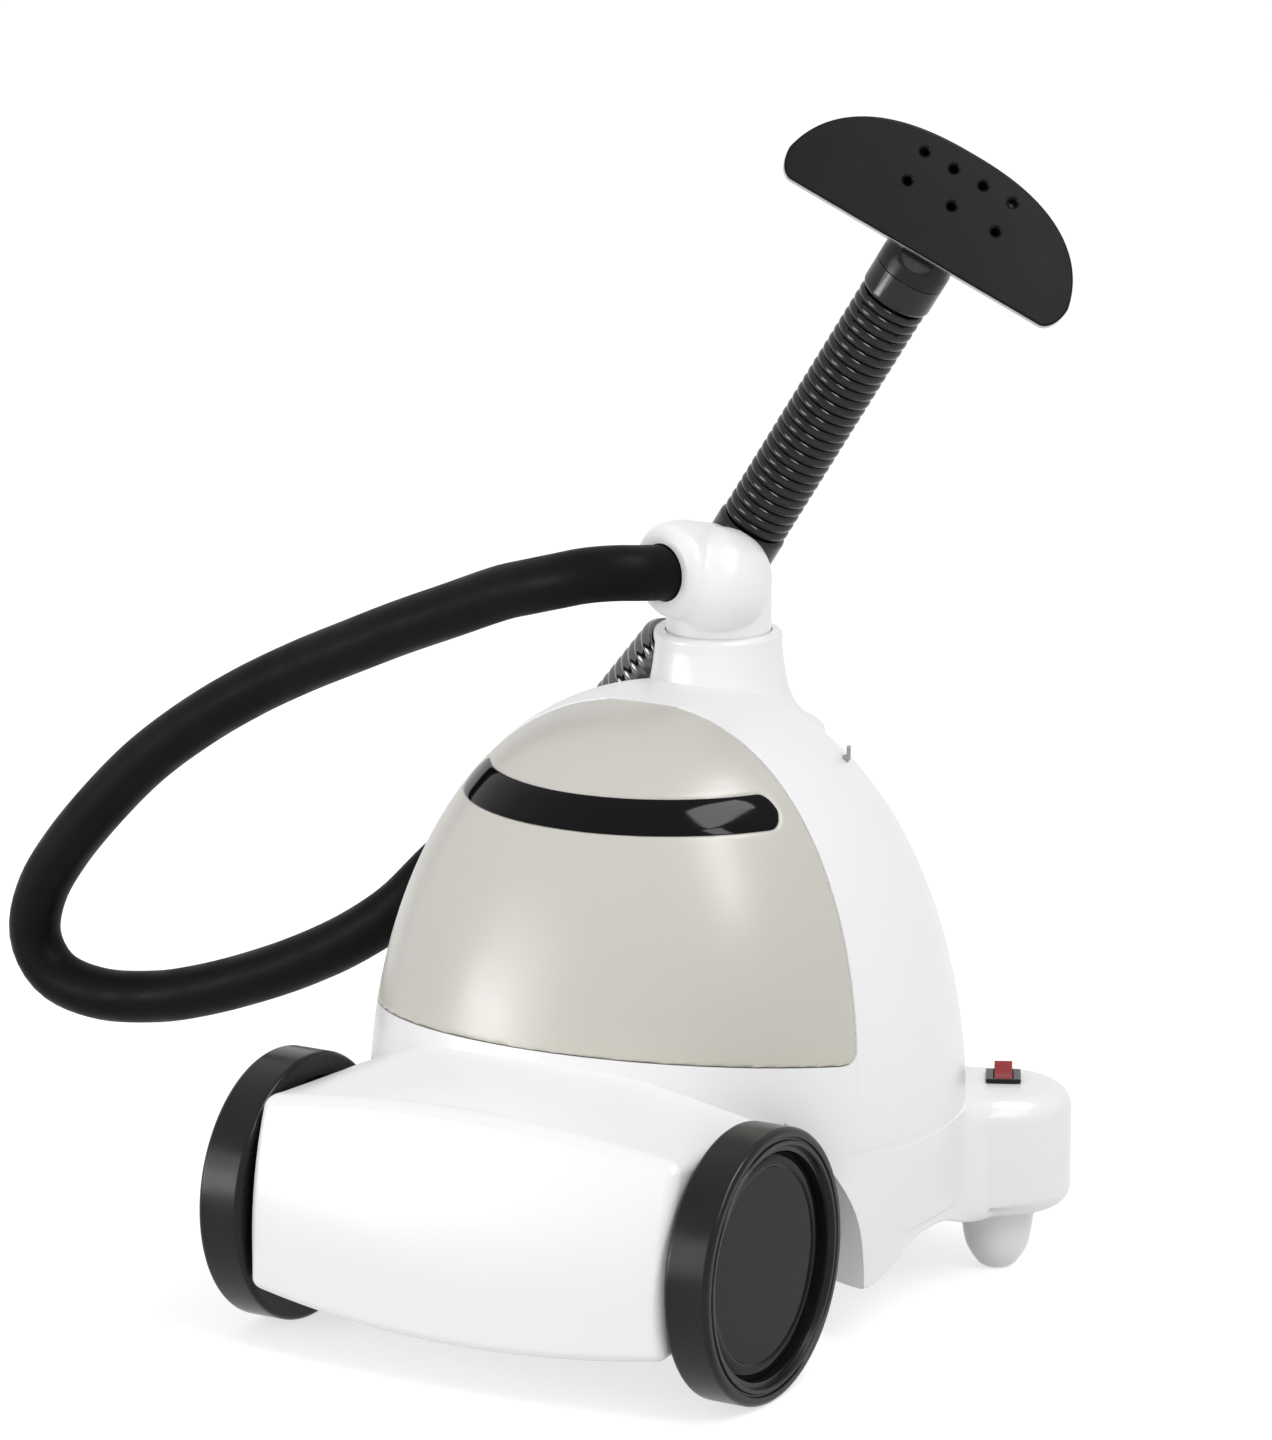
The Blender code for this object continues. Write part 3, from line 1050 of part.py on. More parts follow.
# ---------------------------------------------------------------- hose
def hose_parts():
    boot_axis = Vector(BOOT_DIRECTION).normalized()
    start = Vector(BOOT_START)
    pitch = BOOT_LENGTH / BOOT_RIBS
    profile = [(0, BOOT_LENGTH)]
    for k in range(BOOT_RIBS):
        top = BOOT_LENGTH - k * pitch
        radius = BOOT_RADIUS - 0.0022 * (top / BOOT_LENGTH)
        profile += [(radius - 0.0022, top), (radius, top - 0.25 * pitch), (radius, top - 0.65 * pitch)]
    profile += [(BOOT_RADIUS - 0.002, 0), (0, 0)]
    turned("hose_boot", profile, 10, BLACK_GLOSS, matrix=axes(start, boot_axis, (0, 0, 1)))
    mouth = PORT_START + PORT_AXIS * (PORT_LENGTH - PORT_BORE_DEPTH + GAP)
    lip = PORT_START + PORT_AXIS * PORT_LENGTH
    boot_end = start + boot_axis * (BOOT_LENGTH + GAP)
    path = smooth_path([lip, *HOSE_ROUTE, boot_end + boot_axis * 0.018], 2 * HOSE_RADIUS * HOSE_STEP)
    tube("hose", [mouth, *path, boot_end], HOSE_RADIUS, HOSE_BLACK)


def main():
    lower_housing()
    bottom_plate()
    rear_feet()
    rear_shell()
    cord_hook()
    wheels_and_axle()
    tank()
    tank_cap()
    valve_seat()
    boiler_parts()
    switch()
    cord_gland()
    elbow()
    head(handle())
    hose_parts()


main()
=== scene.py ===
"""Looks of the wheeled steamer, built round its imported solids.

Every piece is laid out in the working frame of the part's source: zero on the floor under the middle of
the axle, +X to the viewer's right, +Y to the back. settle() moves it to the row's frame and hands it over.
"""
import json
from math import asin, atan2, copysign, cos, degrees, hypot, pi, radians, sin, sqrt

import bmesh
import bpy
from mathutils import Matrix, Vector


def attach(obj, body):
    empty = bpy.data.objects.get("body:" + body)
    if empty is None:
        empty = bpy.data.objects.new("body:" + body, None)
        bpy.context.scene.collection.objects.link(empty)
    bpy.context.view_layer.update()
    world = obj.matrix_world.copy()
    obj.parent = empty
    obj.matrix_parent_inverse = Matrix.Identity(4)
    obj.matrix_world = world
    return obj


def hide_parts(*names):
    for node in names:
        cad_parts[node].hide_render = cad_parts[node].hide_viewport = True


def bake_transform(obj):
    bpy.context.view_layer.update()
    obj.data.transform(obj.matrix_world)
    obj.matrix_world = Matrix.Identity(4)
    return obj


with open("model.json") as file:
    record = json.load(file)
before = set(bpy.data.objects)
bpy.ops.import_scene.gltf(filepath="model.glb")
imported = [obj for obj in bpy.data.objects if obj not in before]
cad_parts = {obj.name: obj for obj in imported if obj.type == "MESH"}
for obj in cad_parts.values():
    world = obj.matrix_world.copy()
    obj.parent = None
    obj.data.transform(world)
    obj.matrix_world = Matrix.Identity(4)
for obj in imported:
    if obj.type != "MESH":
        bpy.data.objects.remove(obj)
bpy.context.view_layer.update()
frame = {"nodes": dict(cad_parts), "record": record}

# ---------------------------------------------------------------- sizes, as in the part's source
FRAME_CENTRE = (0.00215, 0.1217)
GAP = 0.0003
WALL = 0.003
DOME_Y = 0.152
DOME_RADIUS = 0.156
DOME_BASE_Z = 0.100
DOME_HEIGHT = 0.218
DOME_POWER = 1.9
DOME_SHOULDER = 2.3
DOME_TOP_Z = 0.315
BASE_FOOT_HALF = 0.150
BASE_SQUARENESS = 3.0
BASE_BOTTOM_Z = 0.036
BASE_BLEND_Z = 0.040
EDGE_ROUND = 0.0016
SPLIT_Z = 0.104
SEAM_FRONT_Z = 0.161
SEAM_SLOPE = 0.13
PARTING_Y = 0.097
PARTING_Z = 0.150
PARTING_RAKE = 0.17
ARCH_RISE = 0.010
ARCH_TOP_Y = (0.155, 0.170)
ARCH_BACK_Y = 0.215
SKIRT_DROP = 0.005
SKIRT_Y = (0.072, 0.098)
TANK_CORNER = 0.009
WELL_CENTRE = (-0.041, 0.031)
HEAD_OFFSET = (-0.003, -0.002)
HOLE_SHIFT = 0.0043
LOBE_INSET = 0.013
LOBE_FORWARD = 0.055
LOBE_X = DOME_RADIUS - LOBE_INSET
LOBE_Y = DOME_Y + DOME_RADIUS - LOBE_FORWARD
LOBE_RADIUS = 0.038
LOBE_TOP_Z = 0.100
LOBE_TOP_ROUND = 0.012
LOBE_BOTTOM_ROUND = 0.010
LOBE_BOSS = 0.0125
LOBE_HOLLOW = 0.0295
LOBE_CEILING_Z = 0.0937
LOBE_BLEND = 0.008
LOBE_FLARE = 0.18
WHEEL_WIDTH = 0.0249
WHEEL_TRACK = 0.2714
WHEEL_CLEARANCE = 0.00225
FRONT_HALF = WHEEL_TRACK / 2 - WHEEL_WIDTH / 2 - WHEEL_CLEARANCE
FRONT_Y = -0.073
FRONT_BULGE = 0.008
FRONT_LEAN = 0.015
FRONT_BELLY_Z = 0.060
FRONT_TOP_Z = 0.142
FRONT_BOTTOM_Z = 0.025
FRONT_CROWN = 0.011
FRONT_CROWN_BACK = 0.033
FRONT_SMILE = 0.009
FRONT_ROUND = 0.006
FRONT_CORNER = 0.006
FRONT_BACK_Y = 0.070
WHEEL_RADIUS = 0.070
TYRE_DEPTH = 0.012
HUB_WEB = 0.004
HUB_BOSS_RADIUS = 0.010
CAP_RECESS = 0.006
CAP_THICKNESS = 0.002
AXLE_RADIUS = 0.004
WELL_RADIUS = 0.136
WELL_STEP = 0.0005
FOOT_RADIUS = 0.020
FOOT_TIP_RADIUS = 0.005
FOOT_SPIGOT_RADIUS = 0.008
FOOT_SPIGOT_LENGTH = 0.014
NECK_Y = 0.205
NECK_RADIUS = 0.0335
NECK_TOP_Z = 0.338
NECK_FLARE_Z = 0.285
NECK_FLARE_RADIUS = 0.056
NECK_ROOT_Z = 0.256
CUP_FLOOR_Z = 0.320
ELBOW_RADIUS = 0.0276
ELBOW_Z = 0.364
HOOD_OFFSET = (0.0078, -0.0135, 0.0036)
PORT_ANGLE = 72.0
PORT_RISE = 0.0095
PORT_RADIUS = 0.0256
PORT_ROOT_RADIUS = 0.0205
PORT_LENGTH = 0.040
PORT_LIP = 0.0085
PORT_BORE_DEPTH = 0.012
WAND_TILT = 32.9
COLLAR_RADIUS = 0.0189
LOWER_COLLAR_START = 0.0200
LOWER_COLLAR_END = 0.0400
GRIP_RADIUS = 0.0182
GRIP_VALLEY = 0.0166
GRIP_RIBS = 27
GRIP_LENGTH = 0.148
UPPER_COLLAR_LENGTH = 0.017
HEAD_LONG = (0.814, 0.314, -0.489)
HEAD_NORMAL = (0.531, -0.743, 0.406)
HEAD_HALF_LENGTH = 0.083
HEAD_HEIGHT = 0.061
HEAD_ROUNDNESS = 2.4
HEAD_CORNER = 0.010
PLATE_THICKNESS = 0.0055
HEAD_REACH = 0.022
HEAD_FROM_ELBOW = 0.211
HOLE_RADIUS = 0.0023
HOLE_ROWS = ((4, 0.0172, 0.0487), (3, 0.0258, 0.0310))
CHAMBER_DEPTH = 0.007
PAN_DEPTH = 0.015
THROAT_LENGTH = 0.024
THROAT_RADIUS = 0.0135
TANK_WALL = 0.003
BAND_Z = 0.2722
BAND_HALF = 0.0078
BAND_ANGLE = 63.0
BAND_DEPTH = 0.0014
BAND_PROUD = 0.0006
FILL_Y = 0.060
NECK_BORE = 0.0125
FILLER_RADIUS = 0.0155
CAP_BOTTOM_Z = 0.1320
CAP_FLOOR = 0.003
WELL_TUBE_RADIUS = 0.030
WELL_BORE = 0.0255
SEAT_Z = 0.1245
SWITCH_OFFSET = (-0.001, 0.007)
SWITCH_X = LOBE_X + SWITCH_OFFSET[0]
SWITCH_Y = LOBE_Y + SWITCH_OFFSET[1]
SWITCH_TURN = 27.0
BEZEL = (0.0185, 0.0210)
BEZEL_LIP = 0.0022
SWITCH_BODY = (0.0130, 0.0190)
SWITCH_DEPTH = 0.020
ROCKER = (0.0095, 0.0160)
ROCKER_TILT = 10.0
GLAND_Z = 0.066
GLAND_FACE_Z = 0.077
GLAND_HOLE_RADIUS = 0.0063
HOSE_RADIUS = 0.0145
BOOT_START = (-0.0360, 0.2204, 0.3243)
BOOT_DIRECTION = (-0.691, 0.258, -0.676)
BOOT_LENGTH = 0.071
BOOT_RIBS = 7
BOOT_RADIUS = 0.0168
BOSS_REACH = 0.014
BOSS_RADIUS = 0.0125
HOSE_ROUTE = (
    (-0.0181, 0.1530, 0.3752), (-0.0253, 0.1455, 0.3758), (-0.0344, 0.1405, 0.3752),
    (-0.0448, 0.1382, 0.3733), (-0.0562, 0.1380, 0.3701), (-0.0758, 0.1400, 0.3644),
    (-0.0960, 0.1435, 0.3581), (-0.1318, 0.1510, 0.3435), (-0.1662, 0.1570, 0.3295),
    (-0.2014, 0.1630, 0.3140), (-0.2374, 0.1685, 0.2977), (-0.274, 0.1735, 0.2790),
    (-0.309, 0.1775, 0.2580), (-0.344, 0.1810, 0.2330), (-0.374, 0.1840, 0.2060),
    (-0.404, 0.1870, 0.1740), (-0.424, 0.1890, 0.1450), (-0.430, 0.1900, 0.1180),
    (-0.417, 0.1910, 0.0970), (-0.388, 0.1920, 0.0895), (-0.352, 0.1930, 0.0925),
    (-0.322, 0.1930, 0.1000), (-0.288, 0.1920, 0.1120), (-0.253, 0.1900, 0.1270),
    (-0.220, 0.1890, 0.1445), (-0.191, 0.1910, 0.1650), (-0.170, 0.2020, 0.1890),
    (-0.153, 0.2180, 0.2080), (-0.136, 0.2330, 0.2250), (-0.119, 0.2430, 0.2420),
)

TO_ROW = Matrix.Translation((-FRAME_CENTRE[0], -FRAME_CENTRE[1], 0))
SIDES = ((-1, "left"), (1, "right"))

# ---------------------------------------------------------------- fineness of the visible skins
DOME_STEPS, DOME_SIDES = 44, 144
INNER_STEPS, INNER_SIDES = 14, 72
COARSE_TURN, FINE_TURN, FINE_TURNS = 2.5, 1.2, 20      # degrees between points, away from and at the lobes
CORNER_STEPS, FRONT_STEPS = 8, 14
TANK_VOXEL, TANK_SOFTENING = 0.0012, 4
ELBOW_VOXEL, ELBOW_SOFTENING = 0.0009, 34
BAND_COUNT = 90                  # sections along the grip band
HALF_MOON_ARCH, HALF_MOON_CORNER, HALF_MOON_FLAT = 110, 12, 23
GRIP_RIB_STEPS, BOOT_RIB_STEPS = 8, 10
HOSE_STEP = 0.006                # between the rings of the hose
HOSE_SIDES = 40

# ---------------------------------------------------------------- sizes of cutting forms
ZONE_FRONT, ZONE_BACK, ZONE_TOP = -0.20, 0.40, 0.42    # beyond the object
CUT_CLEAR = (0.00008, 0.00005)   # keeps cutting faces off those that they would touch
FACET_TURN = (5.0, 1.3)          # degrees; keeps the facets of well and cup off those that they cut

# ---------------------------------------------------------------- sizes of small visible forms
LIP_ROUND = 0.0026               # neck's top edge
HOOK_SPOT = (0.0810, 0.1880)     # direction of the cord hook from the dome's axis
HOOK_Z = 0.2840
HOOK_WIDTH = 0.005
TYRE_SHOULDER = 0.0030
TYRE_FLANGE = 0.0010             # rounding of the tyre's inner edge
GROOVE = ((0.0052, 0), (0.0056, 0.0005), (0.0058, 0.0012), (0.0066, 0.0012), (0.0068, 0.0005), (0.0072, 0))
COLLAR_ROUND = 0.0035
PLATE_ROUND = 0.0014
RIM_TILT = 0.55                  # faces of the steam plate that lean more than this show its metal edge
RIM_CLEAR = 0.006                # and are this far from every hole
VISIBLE_RIBS = BOOT_RIBS + 2     # the boot's ribs, closer than those of the solid
RIB_DEPTH = 0.0034
BOOT_LEAD = 0.018                # straight stretch of the hose before its boot
HOSE_SPLIT = (-0.359, 0.1825, 0.2195)                  # where its two runs meet, on a straight stretch

# ---------------------------------------------------------------- looks
DRIFT_SCALE, HAZE_SCALE, CLOUD_SCALE = 14.0, 60.0, 9.0 # of the noise in colour, gloss and the tank's colour
GRAIN_DEPTH = 0.0006
COAT_ROUGHNESS = 0.05
TANK_FADE = (0.14, 0.32)         # heights between which the tank's colour changes
TANK_WARM = (0.60, 0.58, 0.50)
TANK_MIDDLE = (0.575, 0.555, 0.512)
TANK_TOP = (0.565, 0.548, 0.510)

# ---------------------------------------------------------------- light
FLOOR_WHITE = 0.80               # what the floor throws back onto the object
FLOOR_SHADE = 0.60               # with the glow, the floor as it is seen
FLOOR_GLOW = 0.66
FLOOR_SIZE, FLOOR_DROP = 14, 0.0004
WORLD_LIGHT = 0.60
MIDDLE, NECK_SIDE = (-0.05, 0.02, 0.22), (0.05, 0.2, 0.48)
SOFT, CARD, DULL = (True, True), (False, True), (True, False)      # lights the matt colours, shows in gloss
LAMPS = (                        # name, place, aim, width and height, watts, kind
    ("key", (-1.5, -2.05, 0.72), MIDDLE, (1.5, 1.2), 20, SOFT),
    ("right_strip", (1.62, -0.82, 1.95), MIDDLE, (0.4, 1.0), 17, SOFT),
    ("high_soft", (1.05, -0.22, 2.55), MIDDLE, (0.9, 0.35), 10, DULL),
    ("high_card", (1.07, -0.1, 2.5), MIDDLE, (1.15, 0.6), 32, CARD),
    ("low_card", (-1.43, -1.39, 0.32), NECK_SIDE, (0.9, 0.5), 12, CARD),
)


# ---------------------------------------------------------------- camera
def make_camera():
    """The photograph's camera, fitted to the wheels, feet, seams and head."""
    right = Vector((0.86615071, 0.4997829, 0.0))
    up = Vector((-0.11357319, 0.19682847, 0.97383761))
    back = Vector((0.48670738, -0.84349014, 0.22724506))
    place = Matrix((right, up, back)).transposed().to_4x4()
    place.translation = (1.60613436, -2.66493991, 1.05636228)
    camera = bpy.data.objects.new("camera", bpy.data.cameras.new("camera"))
    bpy.context.scene.collection.objects.link(camera)
    camera.matrix_world = TO_ROW @ place
    camera.data.lens = 161.06
    camera.data.sensor_width = 36.0
    camera.data.clip_end = 30.0
    bpy.context.scene.camera = camera


make_camera()


# ---------------------------------------------------------------- materials
def grey(value):
    return (value, value, value, 1)


def feed(tree, made, values):
    """Set a node's inputs, each to a constant or to another node's output, or else its properties."""
    for key, value in values.items():
        if isinstance(value, bpy.types.NodeSocket):
            tree.links.new(value, made.inputs[key])
        elif key in made.inputs:
            made.inputs[key].default_value = value
        else:
            setattr(made, key, value)
    return made


def node(tree, kind, **values):
    return feed(tree, tree.nodes.new("ShaderNode" + kind), values)


def noise(tree, scale, detail=3.0, stretch=(1, 1, 1)):
    """Noise in the piece's own coordinates, in metres."""
    place = node(tree, "TexCoord").outputs["Object"]
    mapping = node(tree, "Mapping", Vector=place, Scale=stretch)
    return node(tree, "TexNoise", Vector=mapping.outputs["Vector"], Scale=scale, Detail=detail).outputs["Fac"]


def ramp(tree, source, stops):
    made = node(tree, "ValToRGB", Fac=source)
    while len(made.color_ramp.elements) < len(stops):
        made.color_ramp.elements.new(0.5)
    for slot, (place, color) in zip(made.color_ramp.elements, stops):
        slot.position = place
        slot.color = (*color, 1)
    return made.outputs["Color"]


def drifting(tree, color, vary):
    """Colour that goes slightly darker and lighter from place to place."""
    dark = tuple(c * (1 - vary) for c in color)
    light = tuple(min(1.0, c * (1 + vary)) for c in color)
    return ramp(tree, noise(tree, DRIFT_SCALE, 4.0), ((0.35, dark), (0.65, light)))


def surface(name, color, rough, metallic=0.0, coat=0.0, vary=0.04, rough_vary=0.05, grain=900.0, bump=0.02,
            ior=1.5, stretch=(1, 1, 1), specular=0.5):
    """Moulded or machined surface: colour and gloss drift slightly, a fine grain in the bump. The colour can
    also be a function that makes its nodes."""
    mat = bpy.data.materials.new(name)
    mat.use_nodes = True
    tree = mat.node_tree
    tint = color(tree) if callable(color) else drifting(tree, color, vary)
    low, high = max(0.0, rough - rough_vary), min(1.0, rough + rough_vary)
    gloss = ramp(tree, noise(tree, HAZE_SCALE, 3.0), ((0.3, (low,) * 3), (0.7, (high,) * 3)))
    relief = node(tree, "Bump", Strength=bump, Distance=GRAIN_DEPTH, Height=noise(tree, grain, 2.0, stretch))
    feed(tree, tree.nodes["Principled BSDF"], {
        "Metallic": metallic, "Coat Weight": coat, "Coat Roughness": COAT_ROUGHNESS, "IOR": ior,
        "Specular IOR Level": specular, "Base Color": tint, "Roughness": gloss,
        "Normal": relief.outputs["Normal"]})
    return mat


def frosted(tree):
    """The tank's colour: greyer towards the top, a little warmer and lighter towards the bottom, faintly
    clouded.
    """
    place = node(tree, "SeparateXYZ", Vector=node(tree, "TexCoord").outputs["Object"])
    height = feed(tree, node(tree, "MapRange"), {
        "Value": place.outputs["Z"], "From Min": TANK_FADE[0], "From Max": TANK_FADE[1]})
    stops = ((0.0, TANK_WARM), (0.22, TANK_MIDDLE), (0.75, TANK_MIDDLE), (1.0, TANK_TOP))
    fade = ramp(tree, height.outputs["Result"], stops)
    cloud = ramp(tree, noise(tree, CLOUD_SCALE, 3.0), ((0.3, (0.985, 0.985, 0.985)), (0.7, (1, 1, 1))))
    mixed = node(tree, "Mix", data_type='RGBA', blend_type='MULTIPLY', Factor=1.0)
    return feed(tree, mixed, {6: fade, 7: cloud}).outputs[2]


def milky_tank():
    """Frosted plastic that scatters a little light inside."""
    mat = surface("milky_tank_look", frosted, 0.3, rough_vary=0.02, bump=0.002, ior=1.45)
    feed(mat.node_tree, mat.node_tree.nodes["Principled BSDF"], {
        "Subsurface Weight": 0.35, "Subsurface Radius": (1.0, 0.9, 0.7), "Subsurface Scale": 0.004})
    return mat


LOOKS = {
    "white_abs": surface("white_abs_look", (0.86, 0.858, 0.862), 0.3, vary=0.005, rough_vary=0.02,
                         bump=0.003),
    "milky_tank": milky_tank(),
    "black_gloss": surface("black_gloss_look", (0.003, 0.003, 0.003), 0.07, vary=0.1, rough_vary=0.02,
                           bump=0.004, specular=0.10),
    "black_satin": surface("black_satin_look", (0.009, 0.0085, 0.0085), 0.24, vary=0.2, bump=0.03,
                           specular=0.2),
    "wheel_disc_black": surface("wheel_disc_look", (0.007, 0.0055, 0.006), 0.09, vary=0.15, rough_vary=0.02,
                                bump=0.006, specular=0.08),
    "gunmetal_gloss": surface("gunmetal_look", (0.006, 0.0055, 0.005), 0.12, vary=0.15, bump=0.01,
                              specular=0.32),
    "hose_black": surface("hose_look", (0.006, 0.006, 0.0062), 0.46, vary=0.2, grain=700.0, bump=0.12,
                          rough_vary=0.08, specular=0.05),
    "rocker_red": surface("rocker_red_look", (0.26, 0.012, 0.016), 0.25, vary=0.08),
    "steel": surface("steel_look", (0.56, 0.56, 0.57), 0.28, metallic=1.0, vary=0.06, bump=0.04,
                     stretch=(1, 1, 12)),
    "cast_aluminium": surface("cast_aluminium_look", (0.60, 0.60, 0.62), 0.5, metallic=1.0, vary=0.1,
                              grain=500.0, bump=0.3),
    "silicone": surface("silicone_look", (0.55, 0.20, 0.12), 0.5, vary=0.1),
    "grey_plastic": surface("grey_plastic_look", (0.33, 0.33, 0.33), 0.4, vary=0.06, bump=0.06),
}
PLATE_LOOK = surface("steam_plate_look", (0.008, 0.0085, 0.010), 0.3, vary=0.15, grain=1600.0, bump=0.08,
                     specular=0.07)
BOOT_LOOK = surface("boot_look", (0.006, 0.006, 0.006), 0.16, coat=1.0, vary=0.1, bump=0.01, specular=1.0)
RIM_LOOK = surface("plate_rim_look", (0.42, 0.42, 0.41), 0.2, metallic=0.9, vary=0.1, bump=0.01)


def dress_cad_nodes():
    """The solids that stay on show get the look of their slot."""
    for entry in frame["record"]["subparts"]:
        mesh = frame["nodes"][entry["node"]].data
        mesh.materials.clear()
        mesh.materials.append(LOOKS[entry["material_slot"]])


dress_cad_nodes()


# ---------------------------------------------------------------- modelling helpers
WHITE, MILKY, BLACK_GLOSS, BLACK_SATIN = "white_abs", "milky_tank", "black_gloss", "black_satin"
DISC_BLACK, GUNMETAL, HOSE_BLACK = "wheel_disc_black", "gunmetal_gloss", "hose_black"
ROCKER_RED, GREY_PLASTIC = "rocker_red", "grey_plastic"
HELPERS = []                     # forms that only cut or are joined on, removed at the end
SLOTS = {}                       # look of each piece by its object's name


def link(name, bm, mat):
    """Object of a mesh under construction. Without a look it is a helper, to cut with or to join on."""
    bmesh.ops.recalc_face_normals(bm, faces=bm.faces)
    mesh = bpy.data.meshes.new(name)
    bm.to_mesh(mesh)
    bm.free()
    obj = bpy.data.objects.new(name + "_piece", mesh)
    bpy.context.scene.collection.objects.link(obj)
    if mat is None:
        HELPERS.append(obj)
    else:
        SLOTS[obj.name] = mat
    return obj


def loft(name, rings, mat=None):
    """Closed skin over rings of equal point counts, each end closed by a fan."""
    bm = bmesh.new()
    rows = [[bm.verts.new(p) for p in ring] for ring in rings]
    count = len(rows[0])
    for low, high in zip(rows, rows[1:]):
        for i in range(count):
            j = (i + 1) % count
            bm.faces.new((low[i], low[j], high[j], high[i]))
    for row in (rows[0], rows[-1]):
        centre = sum((v.co for v in row), Vector()) / count
        hub = bm.verts.new(centre)
        for i in range(count):
            bm.faces.new((hub, row[i], row[(i + 1) % count]))
    return link(name, bm, mat)


def prism(name, outline, depth, mat=None, matrix=None):
    """Flat outline in local XY, extruded from z = 0 to depth."""
    bm = bmesh.new()
    face = bm.faces.new([bm.verts.new((x, y, 0)) for x, y in outline])
    grown = bmesh.ops.extrude_face_region(bm, geom=[face])["geom"]
    top = [v for v in grown if isinstance(v, bmesh.types.BMVert)]
    bmesh.ops.translate(bm, vec=(0, 0, depth), verts=top)
    if matrix:
        bmesh.ops.transform(bm, matrix=matrix, verts=bm.verts)
    return link(name, bm, mat)


def turned(name, profile, steps, mat=None, matrix=None, loop=False):
    """Profile of (radius, height), outer side running down, turned about local Z."""
    bm = bmesh.new()
    verts = [bm.verts.new((r, 0, z)) for r, z in profile]
    for a, b in zip(verts, verts[1:]):
        bm.edges.new((a, b))
    if loop:
        bm.edges.new((verts[-1], verts[0]))
    obj = link(name, bm, mat)
    if matrix:
        obj.matrix_local = matrix
    screw = obj.modifiers.new("Turn", 'SCREW')
    screw.axis = 'Z'
    screw.steps = steps
    screw.render_steps = steps
    screw.use_merge_vertices = True
    screw.merge_threshold = 0.00001
    return obj


def cylinder(name, radius, low, high, steps, matrix):
    """Helper cylinder, to cut a bore or to join on as a boss."""
    return turned(name, ((0, high), (radius, high), (radius, low), (0, low)), steps, matrix=matrix)


def box(name, size, matrix, mat=None):
    bm = bmesh.new()
    bmesh.ops.create_cube(bm, size=1.0)
    bmesh.ops.scale(bm, vec=size, verts=bm.verts)
    obj = link(name, bm, mat)
    obj.matrix_local = matrix
    return obj


def combine(obj, how, others):
    for other in others:
        step = obj.modifiers.new(other.name, 'BOOLEAN')
        step.operation = how
        step.solver = 'EXACT'
        step.object = other


def cut(obj, *others):
    combine(obj, 'DIFFERENCE', others)


def join(obj, *others):
    combine(obj, 'UNION', others)


def keep(obj, *others):
    combine(obj, 'INTERSECT', others)


def bevel(obj, width, segments, angle=40.0):
    step = obj.modifiers.new("Rounded edges", 'BEVEL')
    step.width = width
    step.segments = segments
    step.limit_method = 'ANGLE'
    step.angle_limit = radians(angle)


def smooth_path(route, step):
    """Points a step apart along a Catmull-Rom curve through the route."""
    guide = [Vector(p) for p in route]
    guide = [guide[0] * 2 - guide[1]] + guide + [guide[-1] * 2 - guide[-2]]
    dense = []
    for a, b, c, d in zip(guide, guide[1:], guide[2:], guide[3:]):
        for k in range(12):
            t = k / 12
            dense.append(0.5 * (2 * b + (c - a) * t + (2 * a - 5 * b + 4 * c - d) * t ** 2
                                + (3 * b - a - 3 * c + d) * t ** 3))
    dense.append(guide[-2])
    total = sum((q - p).length for p, q in zip(dense, dense[1:]))
    count = max(2, round(total / step))
    spaced, walked, wanted = [dense[0]], 0.0, total / count
    for p, q in zip(dense, dense[1:]):
        span = (q - p).length
        while walked + span >= wanted * len(spaced) and len(spaced) < count:
            spaced.append(p.lerp(q, (wanted * len(spaced) - walked) / span))
        walked += span
    return spaced + [dense[-1]]


def axes(origin, z_axis, x_hint=(1, 0, 0)):
    """Matrix whose local Z is z_axis and whose local X is near x_hint."""
    z = Vector(z_axis).normalized()
    x = (Vector(x_hint) - z * Vector(x_hint).dot(z)).normalized()
    y = z.cross(x)
    turn = Matrix((x, y, z)).transposed().to_4x4()
    return Matrix.Translation(origin) @ turn


def at(x, y, z=0.0):
    return Matrix.Translation((x, y, z))


def turn_z(angle):
    return Matrix.Rotation(radians(angle), 4, 'Z')


def arc(radius, start, end, count):
    """Points of an arc about the origin, degrees from the local X axis."""
    return [(radius * cos(radians(start + (end - start) * k / count)),
             radius * sin(radians(start + (end - start) * k / count))) for k in range(count + 1)]


def smooth_profile(points, step=0.0012):
    """Profile points along a smooth curve through the given ones."""
    return [(p.x, p.z) for p in smooth_path([(r, 0, z) for r, z in points], step)]


def soft_skin(obj, pitch, rounds):
    """One even skin with its edges and creases rounded, as a moulding has them."""
    skin = obj.modifiers.new("One skin", 'REMESH')
    skin.mode = 'VOXEL'
    skin.voxel_size = pitch
    soften = obj.modifiers.new("Soft creases", 'SMOOTH')
    soften.factor = 0.5
    soften.iterations = rounds


def settle(obj, body, *nodes, sharp=32.0, look=None):
    """Freeze the modifiers, move the piece to the row's frame and hand it to its body."""
    bpy.context.view_layer.update()
    mesh = bpy.data.meshes.new_from_object(obj.evaluated_get(bpy.context.evaluated_depsgraph_get()))
    mesh.transform(TO_ROW @ obj.matrix_world)
    obj.modifiers.clear()
    obj.data = mesh
    obj.matrix_world = Matrix()
    mesh.shade_smooth()
    mesh.set_sharp_from_angle(angle=radians(sharp))
    mesh.materials.clear()
    mesh.materials.append(look or LOOKS[SLOTS[obj.name]])
    even = obj.modifiers.new("Even shading", 'WEIGHTED_NORMAL')
    even.keep_sharp = True
    if body:
        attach(obj, body)
    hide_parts(*nodes)
    return obj


# ---------------------------------------------------------------- shared forms
def soft_max(a, b, width):
    return 0.5 * (a + b + sqrt((a - b) ** 2 + width ** 2))


